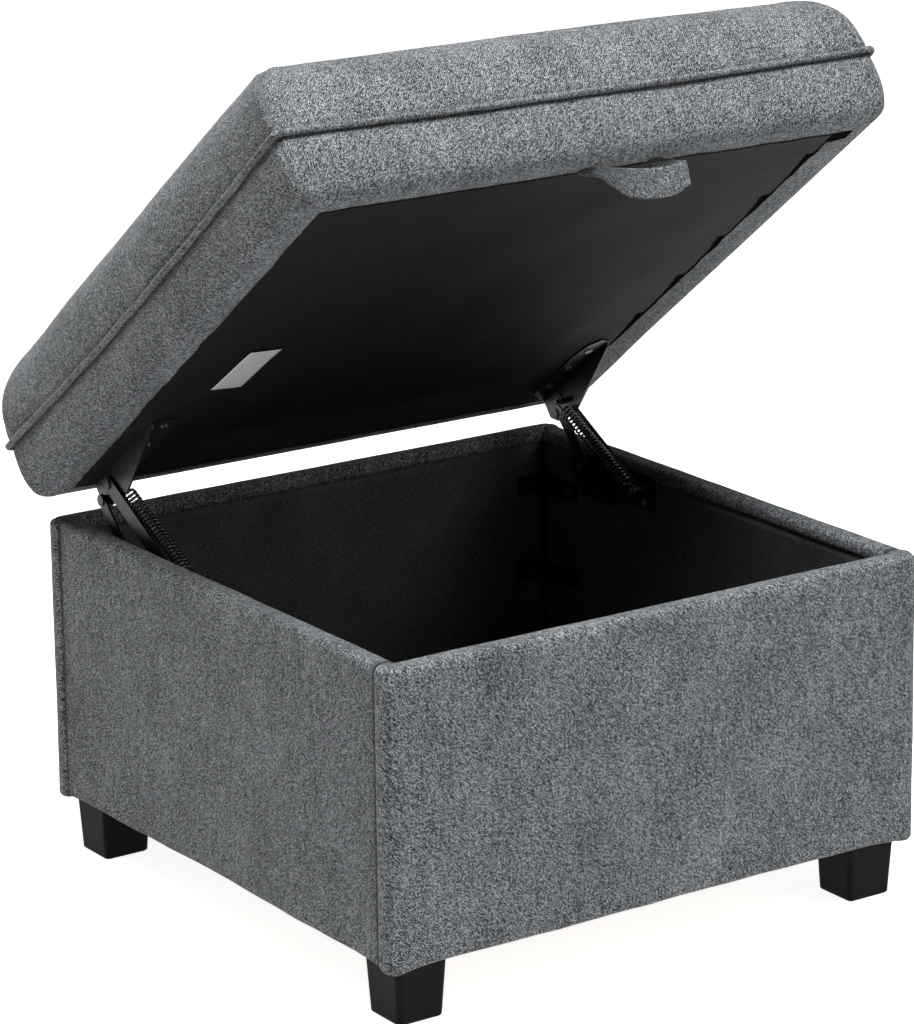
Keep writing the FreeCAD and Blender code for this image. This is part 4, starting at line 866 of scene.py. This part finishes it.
def cushion_lift(points, from_welt, from_corner, dart):
    """How far the skin stands off its plain form: swells, the seam's groove and puckers, the corners."""
    lift = swells(points, CUSHION_SWELLS, 21)
    lift -= SEAM_DEEP * hump(from_welt, SEAM_WIDE)
    puckers = swells(points * PUCKER_STRETCH, PUCKERS, 24)
    lift += puckers * hump(np.abs(from_welt) - PUCKER_OFF_SEAM, PUCKER_WIDE)
    lift -= DART_DEEP * hump(from_corner, DART_WIDE) * dart
    lift += DART_ROLL * hump(from_corner - DART_ROLL_OFF, DART_ROLL_WIDE) * dart
    return np.where(from_welt > UNDER_REACH, lift * UNDER_SHARE, lift)


def build_cushion():
    """The closed, padded cushion: a square grid over its top, then rings down its sides and under it."""
    square, sections, reach, to_welt = cushion_rings()
    x, fore, side = ring_place(square, sections[:, 1], sections[:, 2])
    points = np.stack([x, fore, sections[:, 0]], axis=1)
    faces = cushion_faces()
    normals = vertex_normals(points, faces)
    from_welt = reach - to_welt
    from_corner, dart = corner_darts(points, side, square, from_welt)
    points += normals * cushion_lift(points, from_welt, from_corner, dart)[:, None]
    points[:, 2] -= welt_dip(points) + end_slump(points)
    shade = sum(share * hump(from_welt - below, width) for share, below, width in SEAM_SHADES)
    dart = dart * np.where(from_welt < 0, DART_ABOVE_SHARE, 1)
    shade += DART_SHADE_SHARE * hump(from_corner, DART_SHADE_WIDE) * dart
    uvs = cushion_uvs(faces, side, square, reach)
    piece = mesh_piece("lid_cushion", from_lid(points), faces, uvs, np.clip(shade, 0, 1))
    dress(piece, "lid", "upholstery", CLOTH, "lid_top_cover", "lid_side_band", "lid_foam")


WELT_RADIUS = 0.003
WELT_STAND = 0.0012
WELT_SIDES = 14
WELT_WAVERS = ((0.05, 0.0009), (0.016, 0.0003))
WELT_WAVER_OUT_SHARE = 0.3
WELT_LUMP_SIZE = 0.012
WELT_LUMP_SHARE = 0.06
BIAS_TURN = 45


def welt_line():
    """The piping's centre line, once round the seam, and its outward and upward directions."""
    _, drawn_in, corner = cushion_curves()[0][-1]
    x, fore, _ = ring_place(square_grid()[square_edge()], drawn_in - WELT_STAND, corner + WELT_STAND)
    centres = np.stack([x, fore, np.full(len(x), WELT_UP)], axis=1)
    centres[:, 2] -= welt_dip(centres)
    tangents = np.roll(centres, -1, axis=0) - np.roll(centres, 1, axis=0)
    tangents /= np.linalg.norm(tangents, axis=1, keepdims=True)
    outwards = np.cross(tangents, (0, 0, 1))
    outwards *= np.sign((outwards * centres).sum(axis=1, keepdims=True))
    upwards = np.tile([0.0, 0.0, 1.0], (len(centres), 1))
    waver = swells(centres, WELT_WAVERS, 31)[:, None]
    return centres + upwards * waver + outwards * waver * WELT_WAVER_OUT_SHARE, outwards, upwards


def build_welt():
    """Piping round the seam, its cloth cut on the bias."""
    centres, outwards, upwards = welt_line()
    angles = np.linspace(0, 2 * math.pi, WELT_SIDES, endpoint=False)
    radius = WELT_RADIUS * (1 + WELT_LUMP_SHARE * roughness(centres, WELT_LUMP_SIZE, 33))
    spokes = (outwards[:, None] * np.cos(angles)[None, :, None]
              + upwards[:, None] * np.sin(angles)[None, :, None])
    points = centres[:, None] + spokes * radius[:, None, None]
    length = along(np.vstack([centres, centres[:1]]))
    girth = 2 * math.pi * WELT_RADIUS
    faces, uvs = [], []
    for row in range(len(centres)):
        for side in range(WELT_SIDES):
            corners = ((row, side), (row + 1, side), (row + 1, side + 1), (row, side + 1))
            faces.append(tuple(i % len(centres) * WELT_SIDES + k % WELT_SIDES for i, k in corners))
            uvs += [(length[i], k / WELT_SIDES * girth) for i, k in corners]
    turn = math.radians(BIAS_TURN)
    uvs = np.array(uvs) @ ((math.cos(turn), math.sin(turn)), (-math.sin(turn), math.cos(turn)))
    piece = mesh_piece("lid_piping", from_lid(points), faces, uvs)
    dress(piece, "lid", "upholstery", CLOTH, "lid_welt")


# Underside of the lid

# The dust cover sags inside its rim, and lies flat under the brackets outboard of x and behind fore
SAG = 0.0018
SAG_RIM = 0.045
SAG_EASE = 0.07
BRACKET_X = 0.205
BRACKET_FORE = -0.105
BRACKET_EASE = 0.03
CREASE_STRETCH = (1, 0.45, 1)
CREASES = ((0.05, 0.0007),)
BROAD_CREASES = ((0.11, 0.0012),)

# How far each side of the dust cover stays inside the cushion's edge
DUST_IN = {"left": 0.034, "right": 0.049, "front": 0.033, "back": 0.027}
DUST_POINTS = 150
DUST_CLOTH = 0.0006
DUST_UP = 0.0004
# Its edge wavers and puckers, within a reach set by this power of the place from middle to edge
DUST_EDGE_POWER = 8
DUST_SIDE_WAVERS = ((0.028, 0.0028),)
DUST_END_WAVERS = ((0.028, 0.0022),)
DUST_RIDGE = 0.0005
DUST_RIDGE_SWELLS = ((0.014, 0.0003),)
# A wider tab at the front right, and along the right edge a band of painted shadow for a fold with
# pleats, scalloped at each pleat
DUST_TAB_DEEP = 0.016
DUST_TAB_WIDE = 0.018
DUST_TAB_EASE = 0.002
DUST_PLEAT_SHADOW_PERIOD = 0.078
DUST_FOLD_SHADOW_LEAST = 0.004
DUST_FOLD_SHADOW_GAIN = 0.010


def squared_off(values, power):
    """Values from -1 to 1, raised to a power with their sign kept."""
    return np.sign(values) * np.abs(values) ** power


def dust_sag(x, fore):
    """How far the dust cover hangs below its edges, flat round its rim and under the brackets."""
    to_rim = np.minimum(LID_HALF_X - np.abs(x), LID_HALF_F - np.abs(fore)) - SAG_RIM
    edge = np.clip(to_rim / SAG_EASE, 0, 1)
    free = (np.clip((BRACKET_X - np.abs(x)) / BRACKET_EASE, 0, 1)
            + np.clip((fore - BRACKET_FORE) / BRACKET_EASE, 0, 1))
    place = np.stack([x, fore, 0 * x], axis=-1)
    creases = swells(place * CREASE_STRETCH, CREASES, 41) + swells(place, BROAD_CREASES, 42)
    return np.clip(free, 0, 1) * edge * edge * (3 - 2 * edge) * (SAG + creases)


def lid_sheet(name, x, fore, up, thickness, slot, material, node):
    """A sheet under the lid, from grids of its points' x, fore and up."""
    faces = grid_faces(*x.shape, flipped=True)
    points = from_lid(np.stack([x, fore, up], axis=2))
    piece = mesh_piece(name, points, faces, grid_uvs(faces, x, fore))
    dress(thicken(piece, thickness), "lid", slot, material, node)
    return piece


def paint_fold_shadow(piece, x, fore, right):
    """Give the faces near the dust cover's right edge a darker, unglossy copy of its cloth: painted
    shadow of its pleated fold.
    """
    pleat = (fore / DUST_PLEAT_SHADOW_PERIOD) % 1
    in_fold_shadow = (DUST_FOLD_SHADOW_LEAST + DUST_FOLD_SHADOW_GAIN * pleat ** 2 > right - x).ravel()
    piece.data.materials.append(DUST_FOLD_SHADOW_CLOTH)
    for polygon in piece.data.polygons:
        polygon.material_index = int(all(in_fold_shadow[index] for index in polygon.vertices))


def build_dust_cover():
    line = np.sin(np.linspace(-1, 1, DUST_POINTS) * math.pi / 2)
    v, u = np.meshgrid(line, line, indexing="ij")
    left, right = LID_HALF_X - DUST_IN["left"], LID_HALF_X - DUST_IN["right"]
    front, back = LID_HALF_F - DUST_IN["front"], LID_HALF_F - DUST_IN["back"]
    fore = v * np.where(v < 0, back, front)
    tab = np.clip((fore - (front - DUST_TAB_DEEP)) / DUST_TAB_EASE, 0, 1) * DUST_TAB_WIDE
    x = u * np.where(u < 0, left, right + tab)
    place = np.stack([x, fore, 0 * x], axis=2)
    rim = np.maximum(np.abs(u), np.abs(v)) ** DUST_EDGE_POWER
    x = x + squared_off(u, DUST_EDGE_POWER) * swells(place, DUST_SIDE_WAVERS, 43)
    fore = fore + squared_off(v, DUST_EDGE_POWER) * swells(place, DUST_END_WAVERS, 44)
    ridge = (DUST_RIDGE + swells(place, DUST_RIDGE_SWELLS, 45)) * rim
    piece = lid_sheet("lid_dust_sheet", x, fore, DUST_UP - dust_sag(x, fore) - ridge, DUST_CLOTH,
                      "black_lining", DUST, "lid_dust_cover")
    # Paint the shadow of the pleated fold along the right edge
    paint_fold_shadow(piece, x, fore, right)


# Blank label: half sizes, turn in degrees, and how far its middle lies off its solid's
TAG_HALF_X = 0.0164
TAG_HALF_F = 0.0375
TAG_TURN = 4.8
TAG_OFF_X = 0.0035
TAG_OFF_FORE = 0.0019
TAG_GRID = (25, 13)
TAG_CLOTH = 0.00025
TAG_UP = 0.0008
TAG_LIFT = 0.0012
TAG_SWELLS = ((0.03, 0.0003),)


def build_tag():
    """A blank label on the dust cover, sewn at its rear end and lifting a little at the other."""
    low, high = lid_box("lid_blank_tag")
    middle_x, middle_fore, _ = (low + high) / 2
    rows, columns = (np.linspace(-1, 1, count) for count in TAG_GRID)
    v, u = np.meshgrid(rows * TAG_HALF_F, columns * TAG_HALF_X, indexing="ij")
    turn = math.radians(TAG_TURN)
    x = middle_x + TAG_OFF_X + u * math.cos(turn) + v * math.sin(turn)
    fore = middle_fore + TAG_OFF_FORE - u * math.sin(turn) + v * math.cos(turn)
    place = np.stack([x, fore, 0 * x], axis=2)
    lifted = TAG_UP + TAG_LIFT * np.clip(v / TAG_HALF_F, 0, 1) ** 2 + swells(place, TAG_SWELLS, 51)
    piece = lid_sheet("lid_blank_label", x, fore, -dust_sag(x, fore) - lifted, TAG_CLOTH,
                      "white_tag", TAG, "lid_blank_tag")


# Pull loop

# Places of its upper and lower edge, as x, fore and up in the lid's frame
LOOP_EDGES = (
    ((-0.0185, 0.2650, 0.0018), (-0.0165, 0.2640, 0.0002)),
    ((-0.0155, 0.2710, 0.0008), (-0.0145, 0.2700, -0.0058)),
    ((-0.0059, 0.2780, -0.0027), (-0.0080, 0.2770, -0.0115)),
    ((0.0085, 0.2795, -0.0058), (0.0005, 0.2790, -0.0225)),
    ((0.0235, 0.2795, -0.0085), (0.0130, 0.2790, -0.0345)),
    ((0.0405, 0.2790, -0.0105), (0.0350, 0.2785, -0.0390)),
    ((0.0550, 0.2790, -0.0118), (0.0505, 0.2785, -0.0395)),
    ((0.0680, 0.2790, -0.0114), (0.0645, 0.2785, -0.0376)),
    ((0.0785, 0.2785, -0.0098), (0.0750, 0.2780, -0.0328)),
    ((0.0856, 0.2768, -0.0080), (0.0806, 0.2768, -0.0300)),
    ((0.0846, 0.2745, -0.0064), (0.0803, 0.2745, -0.0288)),
    ((0.0779, 0.2736, -0.0047), (0.0755, 0.2735, -0.0272)),
    ((0.0675, 0.2736, -0.0016), (0.0660, 0.2735, -0.0240)),
    ((0.0597, 0.2736, -0.0002), (0.0590, 0.2732, -0.0185)),
    ((0.0507, 0.2730, -0.0012), (0.0515, 0.2728, -0.0130)))
LOOP_THICK = 0.0034
LOOP_POINTS = 90
LOOP_SIDES = 28
LOOP_SWELLS = ((0.009, 0.00035),)
# The section is squared off, with a stitched groove near both edges, as shares of its half width
LOOP_WIDE_POWER = 0.75
LOOP_DEEP_POWER = 0.55
STITCH_SHARE = 0.80
STITCH_WIDE_SHARE = 0.07
STITCH_DEEP_SHARE = 0.32
# Shade below its upper edge: all along, more round its first bend, and dark past its tip
AWAY_SHADE_SHARE = 0.28
BEND_SHADE_SHARE = 0.34
BEND_SHARE = 0.20
TIP_SHARE = 0.83
TIP_EASE = 0.006
TIP_SHADE_SHARE = 0.65
UPPER_EDGE_SHARE = 0.90
TIP_EDGE_SHARE = 0.93


def loop_shade(lengths, wide):
    """Shade on all but the strap's upper edge; wide is each side's place across it, upper edge 1."""
    bend = hump(lengths / lengths[-1] - BEND_SHARE, BEND_SHARE)
    turned_away = (AWAY_SHADE_SHARE + BEND_SHADE_SHARE * bend)[:, None] * (wide < UPPER_EDGE_SHARE)
    past_tip = np.clip((lengths - TIP_SHARE * lengths[-1]) / TIP_EASE, 0, 1)
    return np.maximum(turned_away, TIP_SHADE_SHARE * past_tip[:, None] * (wide < TIP_EDGE_SHARE))


def build_loop():
    """A padded strap that twists out from under the hem, bends round and goes back."""
    upper, lower = (smooth_curve([edge[k] for edge in LOOP_EDGES], LOOP_POINTS) for k in (0, 1))
    centres = (upper + lower) / 2
    width = np.linalg.norm(upper - lower, axis=1)
    across = (upper - lower) / width[:, None]
    tangents = np.gradient(centres, axis=0)
    thin = np.cross(tangents, across)
    thin /= np.linalg.norm(thin, axis=1, keepdims=True)
    angles = np.linspace(0, 2 * math.pi, LOOP_SIDES, endpoint=False)
    wide = squared_off(np.cos(angles), LOOP_WIDE_POWER)
    deep = squared_off(np.sin(angles), LOOP_DEEP_POWER)
    deep *= 1 - STITCH_DEEP_SHARE * hump(np.abs(wide) - STITCH_SHARE, STITCH_WIDE_SHARE)
    points = (centres[:, None] + across[:, None] * (wide[None, :] * width[:, None] / 2)[:, :, None]
              + thin[:, None] * (deep * LOOP_THICK / 2)[None, :, None])
    points = points + swells(points, LOOP_SWELLS, 61)[..., None] * thin[:, None]
    last_ring = (LOOP_POINTS - 1) * LOOP_SIDES
    faces = grid_faces(LOOP_POINTS, LOOP_SIDES, closed=True)
    faces.append(tuple(range(LOOP_SIDES))[::-1])
    faces.append(tuple(range(last_ring, last_ring + LOOP_SIDES)))
    faces = [face[::-1] for face in faces]
    lengths, girth = along(centres), along(points[LOOP_POINTS // 2])
    uvs = grid_uvs(faces, lengths[:, None] + 3, girth + 3)
    piece = mesh_piece("lid_pull_strap", from_lid(points), faces, uvs, loop_shade(lengths, wide))
    dress(piece, "lid", "upholstery", CLOTH, "lid_pull_loop")


# Stage, lamps and camera

FLOOR_HALF = 12.0
FLOOR_GLOW = 0.90
WORLD_LEVEL = 0.05
LIT_MIDDLE = (0, 0, 0.35)
# Each lamp's place, size, power and colour
LAMPS = {
    "key": ((1.9, -3.4, 2.6), 1.8, 17, (1, 1, 1)),
    "top": ((-0.3, -0.9, 3.8), 2.4, 163, (1, 1, 1)),
    "high_left": ((-2.2, 0.6, 3.2), 1.8, 17, (1, 0.965, 0.90)),
    "low_right": ((2.6, -2.6, 1.6), 2.0, 6.5, (1, 1, 1))}


def floor_material():
    """A pale surface that also shows white to the camera, in reflections and through glass."""
    n = Nodes(bpy.data.materials.new("pale_floor"))
    path = n.node("ShaderNodeLightPath")
    seen = n.math("MAXIMUM", path.outputs["Is Camera Ray"],
                  n.math("MAXIMUM", path.outputs["Is Glossy Ray"], path.outputs["Is Transmission Ray"]))
    n.surface({"Base Color": (0.80, 0.80, 0.80, 1), "Roughness": 0.9, "Specular IOR Level": 0.0,
               "Emission Color": (1, 1, 1, 1), "Emission Strength": n.scaled(seen, FLOOR_GLOW)})
    return n.owner


def build_floor():
    corners = [(x * FLOOR_HALF, y * FLOOR_HALF, 0) for x, y in ((-1, -1), (1, -1), (1, 1), (-1, 1))]
    floor = mesh_piece("floor_plane", corners, [(0, 1, 2, 3)])
    floor.data.materials.append(floor_material())


def build_world():
    """White to the camera, and a low even light on the object."""
    world = bpy.data.worlds.new("studio")
    bpy.context.scene.world = world
    n = Nodes(world, "Background")
    path = n.node("ShaderNodeLightPath")
    seen = n.math("MAXIMUM", path.outputs["Is Camera Ray"], path.outputs["Is Transmission Ray"])
    level = n.node("ShaderNodeMapRange", {"Value": seen, "To Min": WORLD_LEVEL, "To Max": 1.0})
    n.surface({"Color": (1, 1, 1, 1), "Strength": level.outputs[0]})


def placed(name, data, place, rotation):
    """An object for a lamp's or camera's data, turned by a quaternion."""
    made = bpy.data.objects.new(name, data)
    made.location = place
    made.rotation_mode = "QUATERNION"
    made.rotation_quaternion = rotation
    bpy.context.scene.collection.objects.link(made)
    return made


def build_lamps():
    for name, (place, size, power, colour) in LAMPS.items():
        data = bpy.data.lights.new(name, "AREA")
        data.shape = "DISK"
        data.size = size
        data.energy = power
        data.color = colour
        placed(name, data, place, (Vector(LIT_MIDDLE) - Vector(place)).to_track_quat("-Z", "Y"))


def build_camera():
    data = bpy.data.cameras.new("camera")
    data.sensor_width = SENSOR
    data.lens = CAMERA_LENS
    azimuth, elevation = math.radians(CAMERA_AZIMUTH), math.radians(CAMERA_ELEVATION)
    forwards = Vector((-math.sin(azimuth) * math.cos(elevation), math.cos(azimuth) * math.cos(elevation),
                       -math.sin(elevation)))
    rotation = forwards.to_track_quat("-Z", "Y") @ Quaternion((0, 0, 1), math.radians(CAMERA_ROLL))
    bpy.context.scene.camera = placed("camera", data, CAMERA_PLACE, rotation)


bpy.context.scene.view_settings.view_transform = "Standard"
finish_nodes()
build_covers()
build_linings()
build_cushion()
build_welt()
build_dust_cover()
build_tag()
build_loop()
build_floor()
build_world()
build_lamps()
build_camera()

bpy.context.view_layer.update()
